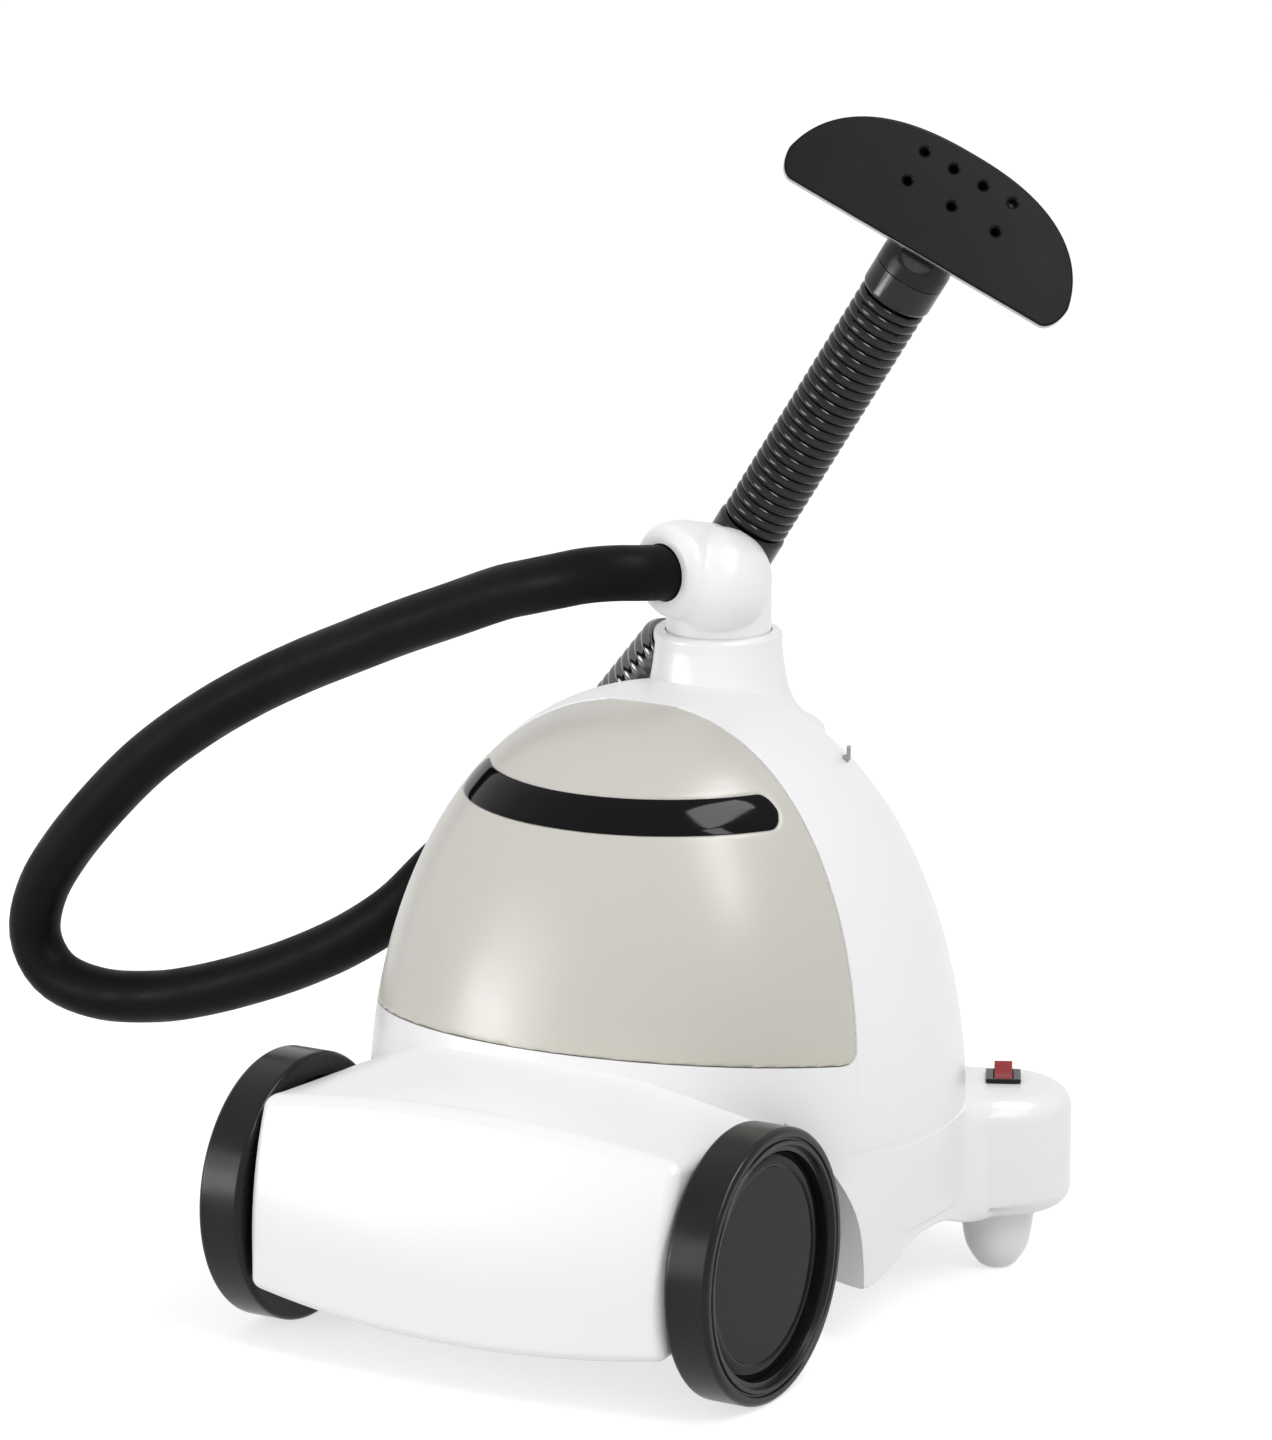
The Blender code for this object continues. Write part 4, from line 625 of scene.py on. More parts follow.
def outline_angles():
    """Directions round the dome's axis, closer together at the rear lobes."""
    lobe = degrees(atan2(LOBE_Y - DOME_Y, LOBE_X))
    centres = (lobe, 180 - lobe)
    reach = FINE_TURN * FINE_TURNS + 0.5
    coarse = [a * COARSE_TURN for a in range(round(360 / COARSE_TURN))]
    coarse = [a for a in coarse if all(abs(a - c) > reach for c in centres)]
    fine = [c + k * FINE_TURN for c in centres for k in range(-FINE_TURNS, FINE_TURNS + 1)]
    return [radians(a) for a in sorted(coarse + fine)]


LOBED_ANGLES = outline_angles()
ROUND_ANGLES = [radians(360 * k / DOME_SIDES) for k in range(DOME_SIDES)]
INNER_ANGLES = [radians(360 * k / INNER_SIDES) for k in range(INNER_SIDES)]


def ease(value, start, end):
    """Smooth step from 0 at start to 1 at end."""
    share = min(1.0, max(0.0, (value - start) / (end - start)))
    return share * share * (3 - 2 * share)


def superellipse_radius(angle, half, power):
    return half * (abs(cos(angle)) ** power + abs(sin(angle)) ** power) ** (-1 / power)


def lobe_radius(angle, radius):
    """Distance from the dome's axis to a lobe's outside, running off steeply beside it."""
    reach = Vector((LOBE_X, LOBE_Y - DOME_Y))
    ray = Vector((abs(cos(angle)), sin(angle)))
    along = reach.dot(ray)
    across = abs(reach.cross(ray))
    edge = radius * 0.985
    if across < edge:
        return along + sqrt(radius ** 2 - across ** 2)
    start = asin(edge / reach.length)
    return reach.length * cos(start) - LOBE_FLARE * (abs(reach.angle(ray)) - start)


def dome_radius(z, inset=0.0):
    height = DOME_HEIGHT - inset
    share = min(1.0, max(0.0, (z - DOME_BASE_Z) / height))
    return (DOME_RADIUS - inset) * (1 - share ** DOME_POWER) ** (1 / DOME_SHOULDER)


def edge_arch(y):
    """Lift of the lower edge: down behind the wheel, up between wheel and rear foot."""
    rise = (ARCH_RISE + SKIRT_DROP) * ease(y, SKIRT_Y[1], ARCH_TOP_Y[0]) - SKIRT_DROP * ease(y, *SKIRT_Y)
    return rise - ARCH_RISE * ease(y, ARCH_TOP_Y[1], ARCH_BACK_Y)


def base_ring(z, inset=0.0, lobe=0.0, angles=LOBED_ANGLES, arched=0.0):
    """Outline at a height: squarer low down, round where the dome begins."""
    share = ease(z, BASE_BLEND_Z, DOME_BASE_Z)
    power = BASE_SQUARENESS + (2 - BASE_SQUARENESS) * share
    half = BASE_FOOT_HALF + (DOME_RADIUS - BASE_FOOT_HALF) * share - inset
    if z > DOME_BASE_Z:
        half = dome_radius(z, inset)
    ring = []
    for angle in angles:
        radius = superellipse_radius(angle, half, power)
        if lobe:
            radius = soft_max(radius, lobe_radius(angle, lobe), LOBE_BLEND)
        y = DOME_Y + radius * sin(angle)
        ring.append(Vector((radius * cos(angle), y, z + arched * edge_arch(y))))
    return ring


def lobe_edge(depth, fillet):
    """How far a rounded edge is set in at a depth below or above its flat."""
    rest = max(0.0, 1 - depth / fillet)
    return fillet * (1 - sqrt(max(0.0, 1 - rest * rest)))


def base_form(name):
    """Outside of the lower housing behind the front body, lobes included."""
    rings = []
    for rise in (0.0, 0.15, 0.35, 0.6, 1.0, 1.6, 2.4, 3.4, 4.6, 6.25):
        depth = rise * EDGE_ROUND
        z = BASE_BOTTOM_Z + depth
        lobe = LOBE_RADIUS - lobe_edge(depth, LOBE_BOTTOM_ROUND)
        rings.append(base_ring(z, lobe_edge(depth, EDGE_ROUND), lobe, arched=1.0))
    for z in (0.052, 0.058, 0.064, 0.070, 0.076, 0.082):
        rings.append(base_ring(z, 0, LOBE_RADIUS))
    for drop in (1.0, 0.8, 0.62, 0.46, 0.32, 0.2, 0.11, 0.05, 0.015, 0.0):
        depth = drop * LOBE_TOP_ROUND
        rings.append(base_ring(LOBE_TOP_Z - depth, 0, LOBE_RADIUS - lobe_edge(depth, LOBE_TOP_ROUND)))
    rings.append(base_ring(LOBE_TOP_Z + 0.0002, 0, LOBE_RADIUS * 0.35))
    rings.append(base_ring(LOBE_TOP_Z + 0.0004))
    for step in range(1, 12):
        rings.append(base_ring(LOBE_TOP_Z + 0.006 * step))
    return loft(name, rings, WHITE)


def inner_base_form(name, inset, low, high):
    levels = (low, BASE_BLEND_Z, 0.070, DOME_BASE_Z, high)
    return loft(name, [base_ring(z, inset, angles=INNER_ANGLES) for z in levels])


def dome_form(name, inset, low, mat=None, top=None):
    top = DOME_TOP_Z - inset if top is None else top
    count, angles = (INNER_STEPS, INNER_ANGLES) if inset > 0 else (DOME_STEPS, ROUND_ANGLES)
    levels = [low + (top - low) * sin(0.5 * pi * k / count) for k in range(count + 1)]
    return loft(name, [base_ring(z, inset, angles=angles) for z in levels], mat)


def rounded_oblong(half, height, radius, across, up):
    """Outline of an oblong from (-half, 0) to (half, height) with round corners."""
    points = []
    corners = ((half, 0, -90), (half, height, 0), (-half, height, 90), (-half, 0, 180))
    for k, (x, z, start) in enumerate(corners):
        cx, cz = copysign(half - radius, x), radius if z == 0 else height - radius
        for step in range(CORNER_STEPS + 1):
            angle = radians(start + 90 * step / CORNER_STEPS)
            points.append((cx + radius * cos(angle), cz + radius * sin(angle)))
        after = corners[(k + 1) % 4]
        count = up if k % 2 == 0 else across
        end = radians(after[2])
        nx = copysign(half - radius, after[0]) + radius * cos(end)
        nz = (radius if after[1] == 0 else height - radius) + radius * sin(end)
        last = points[-1]
        for step in range(1, count + 1):
            share = step / (count + 1)
            points.append((last[0] + (nx - last[0]) * share, last[1] + (nz - last[1]) * share))
    return points


def front_section(y, edge, inset, top, crown, bottom, lean=1.0, spread=1.0):
    """Ring of the front body: a crowned, rounded oblong, bulged and leaning back."""
    trim = inset + edge
    height = FRONT_TOP_Z - FRONT_BOTTOM_Z
    ring = []
    across, up = (9, 5) if inset > 0 else (19, 9)
    for x, level in rounded_oblong(FRONT_HALF - trim, height, max(0.002, FRONT_CORNER - trim), across, up):
        share = (x / FRONT_HALF) ** 2
        high = top - crown * share - trim
        low = bottom + FRONT_SMILE * share + trim
        z = low + (high - low) * level / height
        x = x * spread
        z = FRONT_BELLY_Z + (z - FRONT_BELLY_Z) * spread
        back = max(0.0, (z - FRONT_BELLY_Z) / (FRONT_TOP_Z - FRONT_CROWN - FRONT_BELLY_Z))
        ring.append(Vector((x, y + FRONT_BULGE * (x / FRONT_HALF) ** 2 + lean * FRONT_LEAN * back ** 2, z)))
    return ring


def front_form(name, inset=0.0, open_below=0.0):
    """Front body from the bumper's face back into the base, or its hollow."""
    face = FRONT_Y + inset
    low = FRONT_BOTTOM_Z - open_below
    rings = [front_section(face, FRONT_ROUND, inset, FRONT_TOP_Z, FRONT_CROWN, low, spread=spread)
             for spread in (0.15, 0.4, 0.65, 0.85)]
    for turn in range(0, 91, 10):
        back = FRONT_ROUND * (1 - cos(radians(turn)))
        edge = FRONT_ROUND * (1 - sin(radians(turn)))
        rings.append(front_section(face + back, edge, inset, FRONT_TOP_Z, FRONT_CROWN, low))
    for k in range(1, FRONT_STEPS + 1):
        share = k / FRONT_STEPS
        y = face + FRONT_ROUND + (FRONT_BACK_Y - face - FRONT_ROUND) * share
        rise = min(1.0, (y - FRONT_Y) / -FRONT_Y)
        top = FRONT_TOP_Z + (SEAM_FRONT_Z - 0.002 - FRONT_TOP_Z) * rise - 0.08 * max(0.0, y)
        crown = FRONT_CROWN + (FRONT_CROWN_BACK - FRONT_CROWN) * rise
        bottom = low + (BASE_BOTTOM_Z + 0.002 - FRONT_BOTTOM_Z) * share
        rings.append(front_section(y, 0, inset, top, crown, bottom, lean=1 - share))
    return loft(name, rings)


def sideways(half_width):
    """Lays an outline of (y, z) points across the object, beginning half_width to the left."""
    return Matrix(((0, 0, 1, -half_width), (1, 0, 0, 0), (0, 1, 0, 0), (0, 0, 0, 1)))


def side_prism(name, points, half_width=0.25):
    """Outline of (y, z) points run right across the object, as a cutter."""
    return prism(name, points, 2 * half_width, matrix=sideways(half_width))


def parting_y(z, back=0.0):
    return PARTING_Y + PARTING_RAKE * (z - PARTING_Z) + back


def seam_z(y, drop=0.0):
    return SEAM_FRONT_Z - SEAM_SLOPE * y - drop


def tank_zone(name, back=0.0, drop=0.0):
    """Everything above the tank seam and in front of the tank's back face, with a rounded corner."""
    corner_y = parting_y(seam_z(PARTING_Y), back)
    corner = Vector((corner_y, seam_z(corner_y, drop)))
    start, end = Vector((ZONE_FRONT, seam_z(ZONE_FRONT, drop))), Vector((parting_y(ZONE_TOP, back), ZONE_TOP))
    reach = TANK_CORNER + back
    low = corner + (start - corner).normalized() * reach
    high = corner + (end - corner).normalized() * reach
    turn = [low.lerp(corner, k / 4).lerp(corner.lerp(high, k / 4), k / 4) for k in range(5)]
    points = [start, *turn, end, Vector((ZONE_FRONT, ZONE_TOP))]
    return side_prism(name, [(p.x, p.y) for p in points])


def rear_zone(name, forward=0.0, low=SPLIT_Z):
    """Everything above the parting line and behind the tank's back face."""
    points = ((parting_y(low, -forward), low), (ZONE_BACK, low), (ZONE_BACK, ZONE_TOP),
              (parting_y(ZONE_TOP, -forward), ZONE_TOP))
    return side_prism(name, points)


def wheel_wells(name, grow=0.0):
    """Pair of drums round the wheels, as one cutter each side."""
    drums = []
    for side, word in SIDES:
        inner = FRONT_HALF + WELL_STEP - grow
        matrix = axes((side * inner, *WELL_CENTRE), (side, 0, 0), (0, 0, 1))
        drums.append(cylinder(f"{name}_{word}", WELL_RADIUS + grow, 0, 0.09, 120, matrix))
    return drums


def switch_place():
    """Where the switch sits on its lobe, turned outwards."""
    return at(SWITCH_X, SWITCH_Y, LOBE_TOP_Z) @ turn_z(SWITCH_TURN)


def gland_place():
    """Where the cord gland sits, on the outermost line of the base's back."""
    wall = max(point.y for point in base_ring(GLAND_FACE_Z))
    return axes((0, wall, GLAND_Z), (0, 1, 0), (1, 0, 0))


# ---------------------------------------------------------------- lower housing and feet
def lower_housing():
    body = base_form("lower_housing")
    at_filler = at(0, FILL_Y)
    join(body, front_form("front_body"))
    cavity = inner_base_form("housing_cavity", WALL, 0.010, 0.166)
    join(cavity, front_form("front_cavity", WALL, open_below=0.030))
    cut(cavity, tank_zone("ceiling_over_cavity", back=WALL, drop=WALL), *wheel_wells("well_walls", WALL))
    cut(body, cavity, *wheel_wells("wheel_wells"))
    join(body, cylinder("valve_well_tube", WELL_TUBE_RADIUS, SEAT_Z, SEAM_FRONT_Z, 48, at_filler))
    cut(body, tank_zone("tank_clearance", back=GAP, drop=GAP), rear_zone("rear_shell_clearance"))
    well_place = at_filler @ turn_z(FACET_TURN[0])
    cut(body, cylinder("valve_well_bore", WELL_BORE, SEAT_Z - 0.01, 0.20, 28, well_place))
    at_axle = axes((0, 0, WHEEL_RADIUS), (1, 0, 0), (0, 0, 1))
    cut(body, cylinder("axle_bore", AXLE_RADIUS + GAP, -0.15, 0.15, 20, at_axle))
    for side, _ in SIDES:
        at_lobe = at(side * LOBE_X, LOBE_Y)
        hollow = ((LOBE_BOSS, LOBE_CEILING_Z), (LOBE_HOLLOW - 0.002, LOBE_CEILING_Z),
                  (LOBE_HOLLOW, LOBE_CEILING_Z - 0.004), (LOBE_HOLLOW, 0.020), (LOBE_BOSS, 0.020))
        cut(body, turned(f"lobe_hollow_{side}", hollow, 16, matrix=at_lobe, loop=True))
        socket_top = BASE_BOTTOM_Z + FOOT_SPIGOT_LENGTH + GAP
        cut(body, cylinder(f"foot_socket_{side}", FOOT_SPIGOT_RADIUS + GAP, 0, socket_top, 20, at_lobe))
    pocket = [side + 2 * GAP for side in (*SWITCH_BODY, SWITCH_DEPTH * 2)]
    cut(body, box("switch_pocket", pocket, switch_place()))
    cut(body, cylinder("gland_hole", GLAND_HOLE_RADIUS, -0.02, 0.02, 20, gland_place()))
    return body


def rear_feet():
    """Tapered feet with a rolled tip."""
    top = BASE_BOTTOM_Z - GAP
    for side, word in SIDES:
        flank = smooth_profile(((FOOT_RADIUS, top - 0.001), (FOOT_RADIUS - 0.0016, 0.022), (0.0160, 0.0115),
                                (0.0105, 0.0028), (0.0075, 0.0006)))
        profile = [(0, top), (FOOT_RADIUS - 0.0008, top), *flank, (FOOT_TIP_RADIUS, 0), (0, 0)]
        foot = turned(f"rear_foot_{word}", profile, 72, WHITE, at(side * LOBE_X, LOBE_Y))
        settle(foot, "base", f"rear_foot_{word}")


# ---------------------------------------------------------------- rear shell and neck
def rear_shell():
    body = dome_form("rear_shell", 0.0, 0.090, WHITE)
    at_neck = at(0, NECK_Y)
    shaft = ((0, NECK_TOP_Z - 0.003), (0, 0.328), (0.0022, 0.313), (0.0055, 0.302), (0.0125, 0.292))
    flare = ((0, NECK_FLARE_Z), (-0.003, 0.275), (-0.011, NECK_ROOT_Z))
    neck_side = [(NECK_RADIUS + out, z) for out, z in shaft]
    neck_side += [(NECK_FLARE_RADIUS + out, z) for out, z in flare]
    lip = [(NECK_RADIUS - LIP_ROUND + x, NECK_TOP_Z - LIP_ROUND + z) for x, z in arc(LIP_ROUND, 90, 0, 8)]
    outside = [(0, NECK_TOP_Z), *lip[:-1], *smooth_profile(neck_side, 0.0018), (0, NECK_ROOT_Z)]
    neck = turned("neck_form", outside, 96, matrix=at_neck)
    throat = [(r - WALL, z - 0.5 * WALL) for r, z in neck_side[1:]]
    inside = [(0, CUP_FLOOR_Z - WALL), (throat[0][0], CUP_FLOOR_Z - WALL), *throat[1:], (0, throat[-1][1])]
    neck_void = turned("neck_void", inside, 40, matrix=at_neck)
    boss_matrix = axes(BOOT_START, BOOT_DIRECTION, (0, 0, 1))
    boss_side = ((0, -3 * GAP), (BOSS_RADIUS, -3 * GAP), (BOSS_RADIUS - 0.004, -BOSS_REACH), (0, -BOSS_REACH))
    boss = turned("hose_boss", boss_side, 32, matrix=boss_matrix)
    cavity = dome_form("rear_cavity", WALL, 0.080)
    keep(cavity, rear_zone("cavity_zone", -(WALL + GAP), 0.070))
    keep(body, rear_zone("rear_shell_zone", -CUT_CLEAR[0], SPLIT_Z + CUT_CLEAR[1]))
    join(body, neck)
    cut(body, cavity, neck_void)
    cut(body, cylinder("boot_clearance", BOOT_RADIUS + 3 * GAP, -GAP, 0.020, 48, boss_matrix))
    join(body, boss)
    cup_place = at_neck @ turn_z(FACET_TURN[1])
    cut(body, cylinder("cradle_cup", ELBOW_RADIUS + 0.0006, CUP_FLOOR_Z, 0.40, 72, cup_place))
    return body


def cord_hook():
    """Small hook on the right shoulder of the rear shell."""
    spot = Vector((*HOOK_SPOT, 0))
    reach = hypot(spot.x, spot.y - DOME_Y)
    out = Vector((spot.x, spot.y - DOME_Y, 0)) / reach
    outline = ((0, -0.004), (0.0045, -0.004), (0.0060, -0.0025), (0.0060, 0.004), (0.0040, 0.004),
               (0.0040, -0.001), (0, -0.001))
    start = Vector((0, DOME_Y, HOOK_Z)) + out * (dome_radius(HOOK_Z) - 0.0005)
    turn = Matrix((out, (0, 0, 1), out.cross(Vector((0, 0, 1))))).transposed().to_4x4()
    matrix = Matrix.Translation(start) @ turn @ at(0, 0, -HOOK_WIDTH / 2)
    hook = prism("cord_hook", outline, HOOK_WIDTH, GREY_PLASTIC, matrix)
    cut(hook, dome_form("hook_seat", -GAP, 0.240, top=0.310))
    return hook


# ---------------------------------------------------------------- wheels
def wheel(side, word):
    """Tyre with rounded shoulders, hub and glossy cover disc with a low rim."""
    matrix = axes((side * WHEEL_TRACK / 2, 0, WHEEL_RADIUS), (side, 0, 0), (0, 0, 1))
    half, body = WHEEL_WIDTH / 2, f"wheel_{word}"
    rim, shoulder = WHEEL_RADIUS - TYRE_DEPTH, WHEEL_RADIUS - TYRE_SHOULDER
    outer = [(shoulder + x, half - TYRE_SHOULDER + z) for x, z in arc(TYRE_SHOULDER, 90, 0, 8)]
    inner = [(shoulder + x, TYRE_SHOULDER - half + z) for x, z in arc(TYRE_SHOULDER, 0, -90, 8)]
    seat = [(rim + 0.0040 + x, half - TYRE_FLANGE + z) for x, z in arc(TYRE_FLANGE, 180, 90, 4)]
    groove = [(rim + out, half - down) for out, down in GROOVE]
    ledge = half - CAP_RECESS + 0.003
    tyre = [(rim, ledge), (rim + 0.0022, ledge), *seat, *groove, *outer, *inner, (rim, -half)]
    settle(turned(f"tyre_{word}", tyre, 144, BLACK_SATIN, matrix, loop=True), body, f"tyre_{word}")
    web = half - CAP_RECESS - CAP_THICKNESS - 0.001
    bore, hub_rim = AXLE_RADIUS + GAP, rim - GAP
    reach = -(WHEEL_TRACK / 2 - FRONT_HALF) + GAP
    hub = ((bore, web - 0.006), (HUB_BOSS_RADIUS + 0.002, web - 0.006),
           (hub_rim - 0.006, web - HUB_WEB + 0.001), (hub_rim - 0.004, web), (hub_rim, web),
           (hub_rim, -half + 0.004), (hub_rim - 0.004, -half + 0.004), (hub_rim - 0.005, web - 2 * HUB_WEB),
           (HUB_BOSS_RADIUS + 0.001, web - 2 * HUB_WEB - 0.002), (HUB_BOSS_RADIUS, reach), (bore, reach))
    settle(turned(f"hub_{word}", hub, 96, BLACK_SATIN, matrix, loop=True), body, f"hub_{word}")
    face = half - CAP_RECESS
    disc = [(0, face - 0.0009), (hub_rim * 0.55, face - 0.0009), (hub_rim - 0.0085, face - 0.0009),
            (hub_rim - 0.0078, face - 0.0003), (hub_rim - 0.0070, face), (hub_rim - 0.0045, face),
            (hub_rim - 0.0030, face - 0.0003), (hub_rim, face - 0.0016), (hub_rim, web + GAP), (0, web + GAP)]
    cover = turned(f"wheel_cover_{word}", disc, 144, DISC_BLACK, matrix)
    settle(cover, body, f"wheel_cover_{word}", sharp=40)


# ---------------------------------------------------------------- tank and band
def band_sections(grow, inner, outer, angle_limit):
    """Cross-sections of the grip band, or of its groove, round the front of the tank."""
    rings = []
    face = [(sin(radians(90 - 15 * k)), None) for k in range(13)]
    for k in range(BAND_COUNT + 1):
        share = -cos(pi * k / BAND_COUNT)
        angle = radians(angle_limit) * share
        end = max(0.0, 1 - ((1 - abs(share)) * radians(angle_limit) * dome_radius(BAND_Z) / BAND_HALF))
        half = BAND_HALF * sqrt(max(0.03, 1 - end * end)) + grow
        ring = []
        for level, depth in ((1, inner), *face, (-1, inner)):
            z = half * level
            crown = outer if grow else outer * (1 - abs(level) ** 6) - 0.0002
            radius = dome_radius(BAND_Z + z) + (crown if depth is None else depth)
            ring.append(Vector((radius * sin(angle), DOME_Y - radius * cos(angle), BAND_Z + z)))
        rings.append(ring)
    return rings


def tank():
    body = dome_form("tank_shell", 0.0, 0.090, MILKY)
    keep(body, tank_zone("tank_outside"))
    at_filler = at(0, FILL_Y)
    neck_low, seam = CAP_BOTTOM_Z + CAP_FLOOR + 0.0015, seam_z(FILL_Y)
    join(body, cylinder("filler_neck", FILLER_RADIUS, neck_low, seam + 0.001, 48, at_filler))
    hollow = dome_form("tank_hollow", TANK_WALL, 0.080)
    keep(hollow, tank_zone("tank_inside", back=-TANK_WALL, drop=-TANK_WALL))
    cut(body, hollow)
    cut(body, loft("band_groove", band_sections(GAP, -BAND_DEPTH, 0.006, BAND_ANGLE + 0.4)))
    cut(body, cylinder("filler_bore", NECK_BORE, 0.10, seam + 0.012, 48, at_filler))
    soft_skin(body, TANK_VOXEL, TANK_SOFTENING)
    settle(body, "tank", "tank_shell", sharp=60)
    band = loft("tank_band", band_sections(0, -BAND_DEPTH + GAP, BAND_PROUD, BAND_ANGLE), BLACK_GLOSS)
    settle(band, "tank", "tank_band", sharp=50)


# ---------------------------------------------------------------- switch and gland
def raised(height):
    """The switch's place, a height above the lobe."""
    return switch_place() @ at(0, 0, height)


def switch():
    """Rocker in its bezel."""
    lip = box("switch_bezel", (*BEZEL, BEZEL_LIP), raised(GAP + 0.0004 + BEZEL_LIP / 2), BLACK_SATIN)
    bevel(lip, 0.0007, 4)
    join(lip, box("switch_shank", (*SWITCH_BODY, SWITCH_DEPTH), raised(0.0012 - SWITCH_DEPTH / 2)))
    cut(lip, box("rocker_window", (ROCKER[0] + 4 * GAP, ROCKER[1] + 6 * GAP, 0.024), raised(0.002)))
    end = ROCKER[1] / 2
    outline = [(-end * 0.45, -0.0050), (end * 0.45, -0.0050), (end, -0.0010), (end, 0.0058),
               (end * 0.5, 0.0034), (0, 0.0016), (-end * 0.5, 0.0019), (-end, 0.0028), (-end, -0.0010)]
    rocker = prism("switch_rocker", outline, ROCKER[0], ROCKER_RED, sideways(ROCKER[0] / 2))
    rocker.matrix_local = raised(0.0012) @ Matrix.Rotation(radians(ROCKER_TILT), 4, 'X')
    bevel(rocker, 0.0005, 3, 30.0)
    return lip, rocker


def cord_gland():
    side = smooth_profile(((0.0052, 0.0115), (0.0060, 0.008), (0.0075, 0.004), (0.0098, 0.0028)), 0.0008)
    profile = [(0.0033, 0.012), (0.0047, 0.012), *side, (0.0100, 0.0024), (0.0100, GAP), (0.0060, GAP),
               (0.0060, -0.008), (0.0033, -0.008)]
    return turned("cord_gland", profile, 48, BLACK_SATIN, gland_place(), loop=True)


# ---------------------------------------------------------------- wand
ELBOW_CENTRE = Vector((0, NECK_Y, ELBOW_Z))
WAND_AXIS = Vector((sin(radians(WAND_TILT)), 0, cos(radians(WAND_TILT))))
PORT_AXIS = Vector((-cos(radians(PORT_ANGLE)), -sin(radians(PORT_ANGLE)), 0))
PORT_START = ELBOW_CENTRE + Vector((0, 0, PORT_RISE))
HANDLE_START = ELBOW_CENTRE - Vector(HOOD_OFFSET)


def elbow():
    """Post in the cradle, hood, socket of the handle and port of the hose, in one soft skin."""
    low = CUP_FLOOR_Z + GAP - ELBOW_Z
    profile = [(0, ELBOW_RADIUS)] + arc(ELBOW_RADIUS, 85, 0, 17)
    profile += [(ELBOW_RADIUS, low + 0.003), (ELBOW_RADIUS - 0.003, low), (0, low)]
    body = turned("elbow", profile, 96, WHITE, Matrix.Translation(ELBOW_CENTRE))
    ball = [(0, ELBOW_RADIUS)] + arc(ELBOW_RADIUS, 85, -85, 34) + [(0, -ELBOW_RADIUS)]
    hood = turned("elbow_hood", ball, 72, matrix=Matrix.Translation(ELBOW_CENTRE + Vector(HOOD_OFFSET)))
    at_handle = axes(HANDLE_START, WAND_AXIS, (0, 1, 0))
    socket = cylinder("handle_socket", COLLAR_RADIUS, -0.010, LOWER_COLLAR_START + 0.004, 64, at_handle)
    port = [(0, PORT_LENGTH)] + [(PORT_RADIUS - PORT_LIP + x, PORT_LENGTH - PORT_LIP + z)
                                 for x, z in arc(PORT_LIP, 90, 0, 10)]
    port += [(PORT_RADIUS, PORT_LENGTH * 0.55), (PORT_ROOT_RADIUS, 0), (0, 0)]
    matrix = axes(PORT_START, PORT_AXIS, (0, 0, 1))
    join(body, hood, socket, turned("port_form", port, 80, matrix=matrix))
    soft_skin(body, ELBOW_VOXEL, ELBOW_SOFTENING)
    cut(body, cylinder("port_bore", HOSE_RADIUS + 0.0008, PORT_LENGTH - PORT_BORE_DEPTH, PORT_LENGTH + 0.02,
                       72, matrix))
    cut(body, cylinder("collar_clearance", COLLAR_RADIUS + 2 * GAP, LOWER_COLLAR_START, 0.08, 72, at_handle))
    return body


def handle():
    """Two glossy collars and the ribbed grip between them."""
    matrix = axes(HANDLE_START, WAND_AXIS, (0, 1, 0))
    r, bend = COLLAR_RADIUS, COLLAR_RADIUS - COLLAR_ROUND
    start, end = LOWER_COLLAR_START + GAP, LOWER_COLLAR_END
    edge = [(bend + x, end - COLLAR_ROUND + z) for x, z in arc(COLLAR_ROUND, 80, 0, 8)]
    collar = [(0, end), *edge, (r, start + 0.0005), (r - 0.0005, start), (0, start)]
    settle(turned("lower_collar", collar, 96, GUNMETAL, matrix), "wand", "lower_collar", sharp=50)
    low = end + GAP
    high = low + GRIP_LENGTH
    pitch = GRIP_LENGTH / GRIP_RIBS
    profile = [(0, high), (GRIP_VALLEY, high)]
    for k in range(GRIP_RIBS):
        top = high - k * pitch
        for step in range(1, GRIP_RIB_STEPS + 1):
            bulge = sin(pi * step / GRIP_RIB_STEPS) ** 0.6 if step < GRIP_RIB_STEPS else 0.0
            radius = GRIP_VALLEY + (GRIP_RADIUS - GRIP_VALLEY) * bulge
            profile.append((radius, top - pitch * step / GRIP_RIB_STEPS))
    profile.append((0, low))
    settle(turned("grip", profile, 96, GUNMETAL, matrix), "wand", "grip", sharp=75)
    low = high + GAP
    high = low + UPPER_COLLAR_LENGTH
    edge = [(bend + x, low + COLLAR_ROUND + z) for x, z in arc(COLLAR_ROUND, 0, -80, 8)]
    upper = [(0, high), (r - 0.0004, high), (r, high - 0.0004), *edge, (0, low)]
    settle(turned("upper_collar", upper, 96, GUNMETAL, matrix), "wand", "upper_collar", sharp=50)
    return high + GAP


def half_moon(scale=1.0, shift=0.0):
    """Outline of the steam head: a superellipse above a straight edge with rounded ends."""
    length, height, power = HEAD_HALF_LENGTH * scale, HEAD_HEIGHT * scale, 2 / HEAD_ROUNDNESS
    points = []
    for k in range(HALF_MOON_ARCH + 1):
        angle = pi * (0.06 + 0.88 * k / HALF_MOON_ARCH)
        c, s = cos(angle), sin(angle)
        points.append((length * copysign(abs(c) ** power, c), height * abs(s) ** power))
    corner_x, corner_y = points[-1]
    for k in range(1, HALF_MOON_CORNER + 1):
        t = radians(90 * k / HALF_MOON_CORNER)
        points.append((corner_x + HEAD_CORNER * 0.9 * (1 - cos(t)), corner_y * (1 - sin(t))))
    flat = points[-1][0]
    for k in range(1, HALF_MOON_FLAT + 1):
        points.append((flat - 2 * flat * k / HALF_MOON_FLAT, 0.0))
    for k in range(1, HALF_MOON_CORNER):
        x, y = points[HALF_MOON_ARCH + HALF_MOON_CORNER - k]
        points.append((-x, y))
    return [(x, y + shift) for x, y in points]


